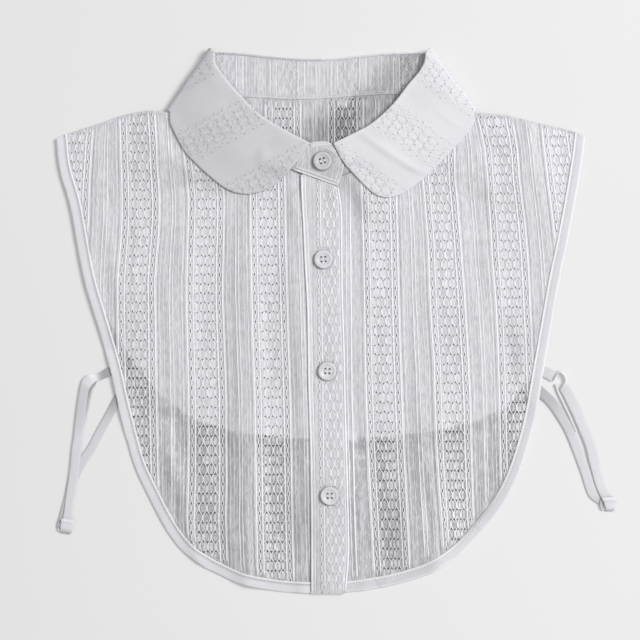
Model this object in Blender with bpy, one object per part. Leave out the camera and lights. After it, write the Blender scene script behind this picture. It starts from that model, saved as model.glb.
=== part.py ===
"""Detachable collar (false collar with a short front and back), laid flat, front up.

Frame: metres, +Z up from the surface that it lies on, +Y towards the back of the neck, +X towards the
wearer's left.  The origin is on the surface, in the middle of the garment's outline.

Tables below are in millimetres.  "across" runs from the middle of the neck towards the wearer's left, and
"down" runs from the top edge of the collar towards the hem.
"""
import math

import bmesh
import bpy
import numpy as np

# ---------------------------------------------------------------- sizes (mm)
CLOTH = 1.0                # wall of a single panel, with its seam allowances
COLLAR_CLOTH = 1.2         # wall of the stand and of the fall, both interfaced
GAP = 0.3                  # between pieces that are sewn or lie together
FRONT_LIFT = CLOTH + 0.45  # what the back panel adds to the pile below the fronts
COLLAR_LAYER = COLLAR_CLOTH + GAP
BINDING_WIDTH = 6.9        # finished tape along armholes and hem
BINDING_PROUD = 0.25       # how much the bound edge is thicker than its panel
STRAP_WIDTH = 5.0
STRAP_THICK = 1.0
PLACKET_LAP = 4.5          # the over front runs this far under the placket band
PLACKET_SPLIT = 5.6        # and the under front starts this far under it
BUTTON_DIAMETER = 11.5
BUTTON_THICK = 2.4
BUTTON_HOLE = 1.45
BUTTON_HOLE_PITCH = 2.5
ROLL_RADIUS = COLLAR_LAYER / 2    # half circle that joins the stand's plane to the fall's
ROLL_START = 1.5           # from the fold to where the fall is sewn to the stand
PLACKET_LIFT = CLOTH + BINDING_PROUD + GAP
NECK_RAISE = 1.1           # the neck seam stands up this much over the panels
NECK_REACH = 13.0          # and this far to each side
FALL_MARGIN = 3.0          # the back panel lies clear of the fall below it this far past its edge
FALL_RAMP = 22.0           # and then comes down to the surface over this length
HEM_MARGIN = 3.0           # the same for the fronts at the back panel's hem
HEM_RAMP = 16.0
COVER_CLEAR = 2.1          # middle of the fall above the panel that it lies on
CREST_SIDE = 8.0           # middle of the fall's cloth at its fold, at the sides of the neck
CREST_FRONT_OVER = 7.4     # the same where the over fall ends at the front
CREST_FRONT_UNDER = 7.2    # the same where the under fall ends at the front
BACK_FALL_Z = COLLAR_CLOTH / 2    # the back of the fall lies on the surface
BACK_STAND_Z = BACK_FALL_Z + COLLAR_LAYER

MIDDLE_ACROSS = 7.85       # the outline's middle in the tables' frame
MIDDLE_DOWN = 166.7

# ---------------------------------------------------------------- tables (mm)
# Visible fold of the collar, from the front end of each fall round to the side of the neck.
FOLD_OVER = (  # across, down
    (-6.1, 58.3), (-21.0, 50.6), (-37.5, 40.3), (-49.1, 28.7), (-59.5, 16.5), (-63.9, 9.0), (-64.2, 2.6))
FOLD_UNDER = (
    (7.6, 58.3), (17.4, 53.7), (30.2, 47.0), (43.3, 35.4), (53.4, 22.6), (60.1, 14.6), (63.0, 9.0), (63.9, 2.7))
FOLD_BACK = (
    (-64.2, 2.6), (-49.1, 3.2), (-29.6, 5.2), (-8.2, 6.7), (7.6, 6.3), (30.2, 3.9), (48.5, 2.8), (63.9, 2.7))

# The fall's front edge, from the fold to the rounded tip, and its outer edge on to the side.
TIP_OVER = ((-6.1, 58.3), (-13.1, 68.3), (-19.8, 76.2), (-26.5, 83.0), (-35.1, 87.5), (-43.0, 89.3))
OUTER_OVER = (
    (-43.0, 89.3), (-50.9, 88.5), (-58.3, 85.4), (-65.6, 79.9), (-74.4, 72.0), (-82.0, 64.0), (-88.8, 51.9),
    (-91.4, 45.5), (-91.5, 39.6))
TIP_UNDER = ((7.6, 58.3), (13.1, 68.9), (21.7, 78.7), (29.6, 86.6), (35.1, 90.3), (41.2, 91.5))
OUTER_UNDER = (
    (41.2, 91.5), (48.5, 89.7), (54.0, 86.6), (68.6, 74.4), (81.4, 61.0), (90.2, 51.0), (93.2, 45.5), (93.3, 39.9))
OUTER_BACK = (
    (-91.5, 39.6), (-73.5, 50.6), (-43.0, 56.7), (0.0, 57.9), (48.5, 55.5), (72.9, 50.6), (93.3, 39.9))

# Neck seam: the stand's lower edge.  The over side ends in the tab, the under side runs on below it.
SEAM_OVER = (
    (10.7, 84.5), (-3.4, 79.6), (-17.4, 74.4), (-33.2, 67.7), (-48.5, 57.9), (-63.7, 43.3), (-72.5, 29.9))
SEAM_UNDER = ((-5.6, 83.4), (11.3, 78.7), (26.5, 72.0), (42.4, 64.0), (58.9, 50.0), (70.5, 36.6), (74.6, 29.9))
SEAM_BACK = ((-72.5, 29.9), (-49.1, 30.2), (-33.9, 30.8), (-16.8, 31.7), (7.0, 30.8), (24.1, 29.5), (49.7, 28.4),
             (74.6, 29.9))
TAB_END = ((3.6, 60.6), (8.2, 62.4), (11.9, 66.5), (13.7, 72.0), (13.1, 78.1), (10.7, 84.5))
UNDER_END = ((-3.4, 60.6), (-4.6, 63.0), (-5.4, 67.0), (-5.6, 72.0), (-5.6, 78.0), (-5.6, 83.4))

# Shoulder line, from the neck seam to the shoulder tip, front and back panels alike.
SHOULDER_OVER = (
    (-73.4, 31.4), (-82.7, 37.4), (-88.8, 39.9), (-94.2, 39.8), (-103.0, 39.0), (-112.5, 39.9), (-122.3, 42.3),
    (-133.0, 46.2), (-143.9, 49.7), (-153.1, 52.7), (-161.0, 55.7))
SHOULDER_UNDER = (
    (75.6, 31.4), (85.1, 38.3), (91.2, 40.7), (96.1, 40.5), (106.9, 40.9), (118.9, 42.9), (131.5, 46.2),
    (143.3, 48.6), (154.3, 51.6), (161.3, 54.9))

# Outer edge of the bound armhole and hem, from the shoulder tip to the placket.
EDGE_OVER = (
    (-161.0, 55.7), (-159.1, 73.2), (-153.1, 94.5), (-144.3, 140.3), (-135.1, 172.0), (-128.6, 194.6),
    (-122.9, 219.4), (-113.9, 253.8), (-107.4, 268.4), (-93.6, 294.6), (-84.1, 306.8), (-72.9, 315.2),
    (-61.3, 321.5), (-49.1, 326.7), (-24.1, 331.5), (-1.5, 332.6))
EDGE_UNDER = (
    (161.3, 54.9), (160.6, 61.0), (158.0, 78.7), (151.0, 116.5), (145.7, 141.9), (136.5, 194.0), (128.4, 236.5),
    (115.0, 272.7), (96.1, 297.9), (83.3, 310.5), (68.6, 319.6), (53.1, 325.3), (37.5, 328.9),
    (16.0, 332.0), (0.0, 332.6))

# Placket band: its sewn edge and its folded edge, and the under front's hem end.
PLACKET_SEWN = (
    (-12.0, 77.0), (-11.9, 86.0), (-10.7, 109.8), (-9.5, 135.4), (-8.2, 161.0), (-7.6, 203.7), (-6.4, 245.2),
    (-5.9, 287.3), (-5.8, 332.6))
PLACKET_FOLDED = (
    (11.2, 85.4), (12.9, 97.6), (13.4, 126.9), (13.7, 152.5), (14.7, 182.4), (15.6, 224.5), (16.8, 266.6),
    (17.4, 308.7), (15.6, 332.6))

# Back panel: free edge of its bound armholes and hem, shoulder tip to shoulder tip.
BACK_EDGE = (
    (-160.0, 56.0), (-158.0, 73.2), (-152.0, 94.5), (-143.2, 132.0), (-134.0, 155.0), (-123.5, 174.0),
    (-116.2, 185.5), (-104.0, 202.5), (-88.8, 217.8), (-73.5, 226.9), (-58.3, 231.5), (-12.5, 237.0), (18.0, 236.6),
    (48.5, 235.5), (79.0, 230.0), (108.5, 221.0), (122.3, 208.6), (130.6, 191.5), (137.6, 166.5), (143.4, 141.9),
    (149.6, 116.5), (156.9, 78.7), (159.4, 61.0), (160.2, 55.2))

# Side straps: middle of the tape, from where it is sewn under the front's edge, out to the turned loop,
# and back in under the front to the back panel's edge.  "layer" is 1 where it lies on its own other run.
STRAP_OVER = (  # across, down, layer
    (-125.0, 195.4, 0), (-129.6, 197.6, 0), (-134.5, 200.3, 0), (-139.6, 203.3, 0), (-143.2, 207.6, 0),
    (-145.6, 216.5, 0), (-148.2, 233.0, 0.5), (-150.1, 251.3, 1), (-152.2, 269.6, 1), (-154.0, 284.0, 1), (-155.6, 290.2, 1),
    (-158.4, 291.9, 0.5), (-160.4, 289.4, 0), (-159.2, 283.0, 0), (-155.9, 273.9, 0), (-151.6, 262.3, 0),
    (-145.5, 250.0, 0), (-137.6, 234.6, 0), (-130.2, 221.4, 0), (-123.4, 208.6, 0), (-116.4, 191.8, 0))
STRAP_UNDER = (
    (134.2, 194.6, 0), (137.6, 196.4, 0), (143.0, 199.4, 0), (147.6, 202.0, 0), (151.6, 207.6, 0),
    (155.6, 218.0, 0), (161.0, 233.0, 0.5), (165.4, 245.2, 1), (169.6, 259.7, 1), (173.6, 271.0, 1), (176.1, 277.6, 1),
    (175.6, 281.0, 0.5), (172.6, 281.6, 0), (169.6, 277.6, 0), (164.4, 262.3, 0), (158.3, 245.2, 0),
    (151.6, 230.8, 0), (143.6, 218.4, 0), (135.6, 209.4, 0), (128.6, 202.9, 0))

# Soft folds that run down the two fronts.
FOLDS = (  # across and down of the top, across and down of the foot, height, half width
    (-52.0, 110.0, -34.0, 300.0, 0.9, 9.0),
    (-92.0, 85.0, -84.0, 245.0, 0.6, 8.0),
    (-131.0, 92.0, -112.0, 190.0, 0.5, 7.0),
    (36.0, 125.0, 41.0, 290.0, 0.8, 9.0),
    (84.0, 100.0, 86.0, 250.0, 0.7, 9.0),
    (122.0, 80.0, 119.0, 200.0, 0.5, 8.0))

BUTTONS = (  # name, across, down, turn of its holes in degrees
    ("button_stand", 1.2, 69.4, -15.0),
    ("button_1", 1.8, 129.0, -4.0),
    ("button_2", 4.2, 197.0, 3.0),
    ("button_3", 5.6, 272.9, -2.0))

MATERIALS = {  # colour, roughness
    "openwork_cotton": ((0.86, 0.86, 0.89), 0.85),
    "collar_cotton": ((0.88, 0.88, 0.90), 0.80),
    "binding_tape": ((0.90, 0.90, 0.92), 0.75),
    "strap_tape": ((0.90, 0.90, 0.91), 0.70),
    "button_plastic": ((0.90, 0.90, 0.91), 0.35),
}


# ---------------------------------------------------------------- curves and levels
class Curve:
    """A smooth curve through a table's rows, read by its share of the length, 0 to 1."""

    def __init__(self, rows, steps=16):
        p = np.array(rows, float)
        ext = np.vstack([2 * p[0] - p[1], p, 2 * p[-1] - p[-2]])
        knots = np.concatenate([[0], np.cumsum(np.linalg.norm(np.diff(ext[:, :2], axis=0), axis=1) ** 0.5)])
        dense = []
        for i in range(1, len(ext) - 2):
            t0, t1, t2, t3 = knots[i - 1:i + 3]
            p0, p1, p2, p3 = ext[i - 1:i + 3]
            last = i == len(ext) - 3
            for k in range(steps + (1 if last else 0)):
                t = t1 + (t2 - t1) * k / steps
                a1 = (t1 - t) / (t1 - t0) * p0 + (t - t0) / (t1 - t0) * p1
                a2 = (t2 - t) / (t2 - t1) * p1 + (t - t1) / (t2 - t1) * p2
                a3 = (t3 - t) / (t3 - t2) * p2 + (t - t2) / (t3 - t2) * p3
                b1 = (t2 - t) / (t2 - t0) * a1 + (t - t0) / (t2 - t0) * a2
                b2 = (t3 - t) / (t3 - t1) * a2 + (t - t1) / (t3 - t1) * a3
                dense.append((t2 - t) / (t2 - t1) * b1 + (t - t1) / (t2 - t1) * b2)
        self.set(np.array(dense))

    def set(self, dense):
        self.pts = dense
        self.run = np.concatenate([[0], np.cumsum(np.linalg.norm(np.diff(dense[:, :2], axis=0), axis=1))])
        self.length = self.run[-1]

    def __call__(self, u):
        s = np.asarray(u, float) * self.length
        return np.stack([np.interp(s, self.run, self.pts[:, k]) for k in range(self.pts.shape[1])], axis=-1)

    def side(self, distance):
        """The same curve moved sideways, to the left of its run for a positive distance."""
        d = np.gradient(self.pts[:, :2], axis=0)
        d /= np.linalg.norm(d, axis=1)[:, None]
        out = Curve.__new__(Curve)
        moved = self.pts.copy()
        moved[:, 0] += distance * d[:, 1]
        moved[:, 1] -= distance * d[:, 0]
        keep = [0]
        for i in range(1, len(moved)):
            if np.dot(moved[i, :2] - moved[keep[-1], :2], d[i]) > 1e-6:
                keep.append(i)
        out.set(moved[keep])
        return out

    def between(self, a, b, n=60):
        out = Curve.__new__(Curve)
        out.set(self(np.linspace(a, b, n)))
        return out

    def reversed(self):
        out = Curve.__new__(Curve)
        out.set(self.pts[::-1].copy())
        return out

    def share_at(self, across=None, down=None):
        """Share of the length where the curve comes nearest a value of across, or of down."""
        k, value = (0, across) if across is not None else (1, down)
        return self.run[int(np.argmin(np.abs(self.pts[:, k] - value)))] / self.length


def joined(*curves):
    """Several curves end to end, each keeping its share; returns the curve and the shares of the joints."""
    pts = [curves[0].pts]
    for c in curves[1:]:
        pts.append(c.pts[1:])
    out = Curve.__new__(Curve)
    out.set(np.vstack(pts))
    lengths = np.cumsum([c.length for c in curves])
    return out, list(lengths[:-1] / lengths[-1])


def straight(a, b, n=24):
    out = Curve.__new__(Curve)
    a, b = np.asarray(a, float), np.asarray(b, float)
    out.set(a + (b - a) * np.linspace(0, 1, n)[:, None])
    return out


def patch(top, bottom, first, last, u, v):
    """Plan points of a four-sided patch: top and bottom run along u, first and last along v."""
    U, V = np.meshgrid(u, v, indexing="ij")
    T, B = top(U), bottom(U)
    L, R = first(V), last(V)
    c00, c10, c01, c11 = top(0.0), top(1.0), bottom(0.0), bottom(1.0)
    U, V = U[..., None], V[..., None]
    return ((1 - V) * T + V * B + (1 - U) * L + U * R
            - ((1 - U) * (1 - V) * c00 + U * (1 - V) * c10 + (1 - U) * V * c01 + U * V * c11))


def step(x):
    x = np.clip(x, 0.0, 1.0)
    return x * x * (3 - 2 * x)


def outside(points, outline):
    """Distance of plan points from a closed outline, 0 inside it."""
    shape = points.shape[:-1]
    p = points[..., :2].reshape(-1, 2)
    a = outline
    b = np.roll(outline, -1, axis=0)
    ab = b - a
    t = ((p[:, None] - a) * ab).sum(-1) / np.maximum((ab * ab).sum(-1), 1e-12)
    near = a + np.clip(t, 0, 1)[..., None] * ab
    d = np.linalg.norm(p[:, None] - near, axis=-1).min(axis=1)
    cross = (a[:, 1] > p[:, 1:2]) != (b[:, 1] > p[:, 1:2])
    with np.errstate(divide="ignore", invalid="ignore"):
        x = a[:, 0] + (p[:, 1:2] - a[:, 1]) * ab[:, 0] / ab[:, 1]
    inside = (np.where(cross, p[:, :1] < x, False).sum(axis=1) % 2).astype(bool)
    d[inside] = 0.0
    return d.reshape(shape)


def along(points, line):
    """Distance of plan points from an open line."""
    p = points[..., :2].reshape(-1, 2)
    a, b = line[:-1, :2], line[1:, :2]
    ab = b - a
    t = ((p[:, None] - a) * ab).sum(-1) / np.maximum((ab * ab).sum(-1), 1e-12)
    near = a + np.clip(t, 0, 1)[..., None] * ab
    return np.linalg.norm(p[:, None] - near, axis=-1).min(axis=1).reshape(points.shape[:-1])


fold_over, fold_under, fold_back = Curve(FOLD_OVER), Curve(FOLD_UNDER), Curve(FOLD_BACK)
tip_over, tip_under = Curve(TIP_OVER), Curve(TIP_UNDER)
outer_over, outer_under, outer_back = Curve(OUTER_OVER), Curve(OUTER_UNDER), Curve(OUTER_BACK)
seam_over, seam_under, seam_back = Curve(SEAM_OVER), Curve(SEAM_UNDER), Curve(SEAM_BACK)
shoulder_over, shoulder_under = Curve(SHOULDER_OVER), Curve(SHOULDER_UNDER)
edge_over, edge_under, back_edge = Curve(EDGE_OVER), Curve(EDGE_UNDER), Curve(BACK_EDGE)
placket_sewn, placket_folded = Curve(PLACKET_SEWN), Curve(PLACKET_FOLDED)
strap_over, strap_under = Curve(STRAP_OVER), Curve(STRAP_UNDER)

SIDE_BULGE = 5.0     # how far the fall's side bend reaches out past its axis
coarse = np.linspace(0, 1, 24)
back_fall_outline = np.vstack([
    fold_back(coarse),
    [fold_under(1.0) + (SIDE_BULGE, -1.0), outer_under(1.0) + (SIDE_BULGE, 0.0)],
    outer_back(1 - coarse),
    [outer_over(1.0) + (-SIDE_BULGE, 0.0), fold_over(1.0) + (-SIDE_BULGE, -1.0)]])
back_outline = np.vstack([
    back_edge(coarse), shoulder_under(1 - coarse), seam_back(1 - coarse), shoulder_over(coarse)])
strap_ends = [c(np.linspace(a, b, 6))[:, :2] for c in (strap_over, strap_under) for a, b in ((0.0, 0.03), (0.8, 1.0))]
placket_outline = np.vstack([
    placket_sewn(1 - coarse), seam_over(np.linspace(0.45, 0.0, 8)), placket_folded(coarse)])
tab_outline = np.vstack([
    Curve(TAB_END)(coarse[::2]), seam_over(np.linspace(0, 0.42, 8)), [(-19.0, 55.0), (-6.1, 58.3)]])
neck_line = np.vstack([seam_over(1 - coarse), seam_under(coarse)])


def back_level(p):
    """Underside of the back panel: it climbs over the back of the fall."""
    return COLLAR_LAYER * (1 - step((outside(p, back_fall_outline) - FALL_MARGIN) / FALL_RAMP))


def front_level(p):
    """Underside of the fronts: over the back panel and the straps' hidden ends, with the soft folds."""
    over_back = outside(p, back_outline)
    over_straps = np.min([along(p, run) for run in strap_ends], axis=0) - STRAP_WIDTH / 2
    under = np.minimum(over_back, np.maximum(over_straps, 0))
    level = back_level(p) + FRONT_LIFT * (1 - step((under - HEM_MARGIN) / HEM_RAMP))
    level = level + NECK_RAISE * np.exp(-(along(p, neck_line) / NECK_REACH) ** 2)
    return level + folds(p)


def folds(p):
    rise = np.zeros(p.shape[:-1])
    for top_x, top_d, foot_x, foot_d, height, half in FOLDS:
        share = np.clip((p[..., 1] - top_d) / (foot_d - top_d), 0, 1)
        middle = top_x + (foot_x - top_x) * share
        rise = rise + height * np.sin(math.pi * share) ** 0.7 * np.exp(-((p[..., 0] - middle) / half) ** 2)
    return rise


def placket_level(p):
    return front_level(p) + PLACKET_LIFT


def cover_level(p):
    """Top of what the collar's fall lies on: the fronts, and the placket and tab in the middle."""
    off = np.minimum(outside(p, placket_outline), outside(p, tab_outline))
    return front_level(p) + (PLACKET_LIFT + 0.2) * (1 - step((off - 1.0) / 8.0))


# ---------------------------------------------------------------- solids
def material(name):
    mat = bpy.data.materials.get(name)
    if mat is None:
        colour, rough = MATERIALS[name]
        mat = bpy.data.materials.new(name)
        mat.use_nodes = True
        bsdf = mat.node_tree.nodes["Principled BSDF"]
        bsdf.inputs["Base Color"].default_value = (*colour, 1.0)
        bsdf.inputs["Roughness"].default_value = rough
        bsdf.inputs["Metallic"].default_value = 0.0
    return mat


def place(points):
    """Table millimetres (across, down, up) to the model's metres."""
    q = np.asarray(points, float)
    out = np.empty_like(q)
    out[..., 0] = q[..., 0] - MIDDLE_ACROSS
    out[..., 1] = MIDDLE_DOWN - q[..., 1]
    out[..., 2] = q[..., 2]
    return out * 0.001


def add(name, verts, faces, mat):
    mesh = bpy.data.meshes.new(name)
    bm = bmesh.new()
    vs = [bm.verts.new(v) for v in verts]
    for f in faces:
        bm.faces.new([vs[i] for i in f])
    bmesh.ops.recalc_face_normals(bm, faces=bm.faces)
    bm.to_mesh(mesh)
    bm.free()
    mesh.materials.append(material(mat))
    mesh.shade_smooth()
    mesh.set_sharp_from_angle(angle=math.radians(40))
    obj = bpy.data.objects.new(name, mesh)
    bpy.context.scene.collection.objects.link(obj)
    return obj


def wall(name, lower, upper, mat):
    """A closed wall between two grids of points, given in table millimetres."""
    n, m = lower.shape[:2]
    verts = np.vstack([place(lower).reshape(-1, 3), place(upper).reshape(-1, 3)])
    low = lambda i, j: i * m + j
    up = lambda i, j: n * m + i * m + j
    faces = []
    for i in range(n - 1):
        for j in range(m - 1):
            faces.append((low(i, j), low(i + 1, j), low(i + 1, j + 1), low(i, j + 1)))
            faces.append((up(i, j), up(i, j + 1), up(i + 1, j + 1), up(i + 1, j)))
    for i in range(n - 1):
        faces.append((low(i, 0), up(i, 0), up(i + 1, 0), low(i + 1, 0)))
        faces.append((low(i + 1, m - 1), up(i + 1, m - 1), up(i, m - 1), low(i, m - 1)))
    for j in range(m - 1):
        faces.append((low(0, j + 1), up(0, j + 1), up(0, j), low(0, j)))
        faces.append((low(n - 1, j), up(n - 1, j), up(n - 1, j + 1), low(n - 1, j + 1)))
    return add(name, verts, faces, mat)


def slab(name, plan, level, thick, mat):
    """A wall on a plan grid: its underside at level(plan), its top the same points moved up."""
    low = np.concatenate([plan, level(plan)[..., None]], axis=-1)
    high = low + (0, 0, thick)
    return wall(name, low, high, mat)


def skin(name, middle, thick, mat):
    """A wall of even thickness about a grid of middle points in space."""
    du = np.gradient(middle, axis=0)
    dv = np.gradient(middle, axis=1)
    n = np.cross(du, dv)
    n /= np.linalg.norm(n, axis=-1)[..., None]
    return wall(name, middle - n * thick / 2, middle + n * thick / 2, mat)


def spaced(n, corners=()):
    """n steps from 0 to 1, with a grid line at each corner."""
    u = np.linspace(0, 1, n + 1)
    for c in corners:
        u[int(np.argmin(np.abs(u - c)))] = c
    return u


def build_front(name, seam, seam_from, shoulder, edge, inner_edge, foot, mat, turn, columns=22, rows=20):
    """One front half: neck seam and shoulder along the top, binding round the side, centre edge last."""
    inset = edge.side(turn * (BINDING_WIDTH + GAP))
    tip = shoulder(1 - (BINDING_WIDTH + GAP + 0.4) / shoulder.length)
    pts = inset.pts.copy()
    pts = pts[np.linalg.norm(pts - tip, axis=1).argmin() + 1:]
    side = Curve.__new__(Curve)
    side.set(np.vstack([tip, pts]))
    stop = side.share_at(across=foot)
    side = side.between(0, stop, 160)
    neck = seam.between(seam_from, 1.0).side(turn * GAP)
    line = shoulder.between(0.0, 1 - (BINDING_WIDTH + GAP + 0.4) / shoulder.length)
    neck.set(np.vstack([neck.pts[:-1], line.pts[:1]]))
    top, corners = joined(neck, line)
    top = top.reversed()
    corner = 1 - corners[0]
    split = side.share_at(down=276.0)
    last = Curve.__new__(Curve)
    centre = inner_edge.pts[inner_edge.pts[:, 1] > neck.pts[0, 1] + 0.5]
    centre = centre[centre[:, 1] < side.pts[-1, 1] - 0.5]
    last.set(np.vstack([neck.pts[0], centre, side.pts[-1]]))
    plan = patch(top, side.between(split, 1.0), side.between(0.0, split), last,
                 spaced(columns, [corner]), spaced(rows))
    return slab(name, plan, front_level, CLOTH, mat)


def build_binding(name, edge, turn, level, proud, mat, steps=60):
    inner = edge.side(turn * BINDING_WIDTH)
    u = np.linspace(0, 1, steps + 1)
    a, b = edge(u), inner(u)
    plan = np.stack([a, (a + b) / 2, b], axis=1)
    low = np.concatenate([plan, level(plan)[..., None]], axis=-1)
    high = low + (0, 0, CLOTH + proud)
    high[:, 0, 2] -= 0.25 if proud > 0 else 0.0
    return wall(name, low, high, mat)


def ring_grid(kind):
    """Middle points of the stand or the fall, from the over side's front round the back to the under side's."""
    fall = kind == "fall"
    columns = []
    bend = [math.radians(a) for a in (36, 72, 108, 144)]

    def crest(side, u):
        front = CREST_FRONT_OVER if side == "over" else CREST_FRONT_UNDER
        return front + (CREST_SIDE - front) * step(np.asarray(u) / 0.45)

    # ---- the fall's own plan patches
    def fall_plan(side, u, t):
        if side == "over":
            p = patch(fold_over, outer_over, tip_over, straight(fold_over(1.0), outer_over(1.0)), u, t)
        elif side == "under":
            p = patch(fold_under, outer_under, tip_under, straight(fold_under(1.0), outer_under(1.0)), u, t)
        else:
            p = patch(fold_back, outer_back, straight(fold_over(1.0), outer_over(1.0)),
                      straight(fold_under(1.0), outer_under(1.0)), u, t)
        return p

    def fall_height(side, u, t, p):
        base = cover_level(p) + COVER_CLEAR
        top = crest(side, u)[:, None]
        at_fold = base[:, :1]
        share = np.clip((t[None] - 0.03) / 0.97, 0, 1)
        return base + (top - at_fold) * (1 - share) ** 1.6

    body = np.array([0.03, 0.09, 0.17, 0.28, 0.41, 0.55, 0.70, 0.85, 1.0])
    turns = [math.radians(a) for a in (0, 45, 90, 135)]
    depth = 50.0

    def with_roll(side, u):
        """Plan points, heights and the rows' offset from the body, for the roll and then the body."""
        roll_t = np.array([(ROLL_START - ROLL_RADIUS * math.sin(a)) / depth for a in turns])
        t = np.concatenate([roll_t, body])
        p = fall_plan(side, u, t)
        below = np.array([2 * ROLL_RADIUS - ROLL_RADIUS * (1 - math.cos(a)) for a in turns] + [0.0] * len(body))
        return t, p, below

    if fall:
        u_front, u_back = spaced(15), spaced(12)
        t, p, below = with_roll("over", u_front)
        z = fall_height("over", u_front, t, p)
        z[:, :4] = z[:, 4:5]
        over = np.concatenate([p, (z - below)[..., None]], axis=-1)
        t, p, below = with_roll("under", u_front)
        z = fall_height("under", u_front, t, p)
        z[:, :4] = z[:, 4:5]
        under = np.concatenate([p, (z - below)[..., None]], axis=-1)
        t, p, below = with_roll("back", u_back)
        back = np.concatenate([p, np.broadcast_to(BACK_FALL_Z + below, p.shape[:-1])[..., None]], axis=-1)
    else:
        v = np.linspace(0, 1, 6)
        u_front, u_back = spaced(16), spaced(10)
        lift = ROLL_START + GAP + 0.15

        def stand_plan(side):
            """The stand's top edge keeps one gap below the fall's sewn edge all along."""
            fold = Curve.__new__(Curve)
            top = fall_plan(side, np.linspace(0, 1, 120), np.array([lift / depth]))[:, 0]
            if side == "over":
                fold.set(np.vstack([TAB_END[0], [(-2.0, 60.4), (-6.0, 60.2)], top[top[:, 0] < -8.0]]))
                return patch(fold, seam_over, Curve(TAB_END), straight(fold(1.0), seam_over(1.0)), u_front, v), fold
            fold.set(np.vstack([UNDER_END[0], [(2.0, 61.2), (7.0, 60.6)], top[top[:, 0] > 9.0]]))
            return patch(fold, seam_under, Curve(UNDER_END), straight(fold(1.0), seam_under(1.0)), u_front, v), fold

        p, fold = stand_plan("over")
        tab = step((-12.0 - p[..., 0]) / 10.0)             # 0 on the tab, 1 behind it
        seat = front_level(p) + CLOTH / 2 + (PLACKET_LIFT + 0.1) * (1 - tab)
        high = crest("over", np.clip((u_front * fold.length - 10.0) / fold_over.length, 0, 1))[:, None]
        top = high - 2 * ROLL_RADIUS - 0.45
        z = seat + np.maximum(top - seat[:, :1], 0) * (1 - v[None]) ** 1.3 * step((-2.0 - p[..., 0]) / 6.0)
        over = np.concatenate([p, z[..., None]], axis=-1)

        p, fold = stand_plan("under")
        seat = front_level(p) + 0.4
        high = crest("under", np.clip((u_front * fold.length - 11.0) / fold_under.length, 0, 1))[:, None]
        top = high - 2 * ROLL_RADIUS - 0.45
        steep = 1.3 + 5.0 * (1 - step((p[..., 0] - 8.0) / 16.0))
        z = seat + np.maximum(top - seat[:, :1], 0) * (1 - v[None]) ** steep * step((p[..., 0] - 4.6) / 3.0)
        under = np.concatenate([p, z[..., None]], axis=-1)

        fold = Curve.__new__(Curve)
        fold.set(fall_plan("back", np.linspace(0, 1, 60), np.array([lift / depth]))[:, 0])
        q = patch(fold, seam_back, straight(over[-1, 0, :2], seam_back(0.0)),
                  straight(under[-1, 0, :2], seam_back(1.0)), u_back, v)
        back = np.concatenate([q, np.full(q.shape[:-1], BACK_STAND_Z)[..., None]], axis=-1)

    def side_bend(front, rear, outward):
        """Half circles from the front wall round to the back wall."""
        middle = (front + rear) / 2
        radius = (front[:, 2] - rear[:, 2]) / 2
        out = []
        for a in bend:
            q = middle.copy()
            q[:, :2] += outward * (radius * math.sin(a))[:, None]
            q[:, 2] += radius * math.cos(a)
            out.append(q)
        return out

    def outward(front, sign):
        d = front[-1, :2] - front[0, :2]
        d /= np.linalg.norm(d)
        return sign * np.array([d[1], -d[0]])

    columns += list(over)
    columns += side_bend(over[-1], back[0], outward(over[-1], -1))
    columns += list(back)
    columns += side_bend(back[-1], under[-1], outward(under[-1], 1))[0:0]
    columns += side_bend(under[-1], back[-1], outward(under[-1], 1))[::-1]
    columns += list(under[::-1])
    return np.array(columns)


def build_strap(name, run, mat, steps=54):
    """A flat tape along its run, lying on the surface or on its own other run."""
    u = np.linspace(0, 1, steps + 1)
    c = run(u)
    d = np.gradient(c[:, :2], axis=0)
    d /= np.linalg.norm(d, axis=1)[:, None]
    n = np.stack([d[:, 1], -d[:, 0]], axis=1)
    half = STRAP_WIDTH / 2
    a, b = c[:, :2] + n * half, c[:, :2] - n * half
    # The turned end of the loop is narrow, as tape is where it folds over on itself.
    for edge, sign in ((a, 1), (b, -1)):
        for i in range(1, len(edge)):
            if np.dot(edge[i] - edge[i - 1], d[i]) < 0.15:
                edge[i] = edge[i - 1] + d[i] * 0.15
    z = step(c[:, 2]) * (STRAP_THICK + GAP)
    low = np.stack([np.column_stack([a, z]), np.column_stack([b, z])], axis=1)
    return wall(name, low, low + (0, 0, STRAP_THICK), mat)


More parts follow.
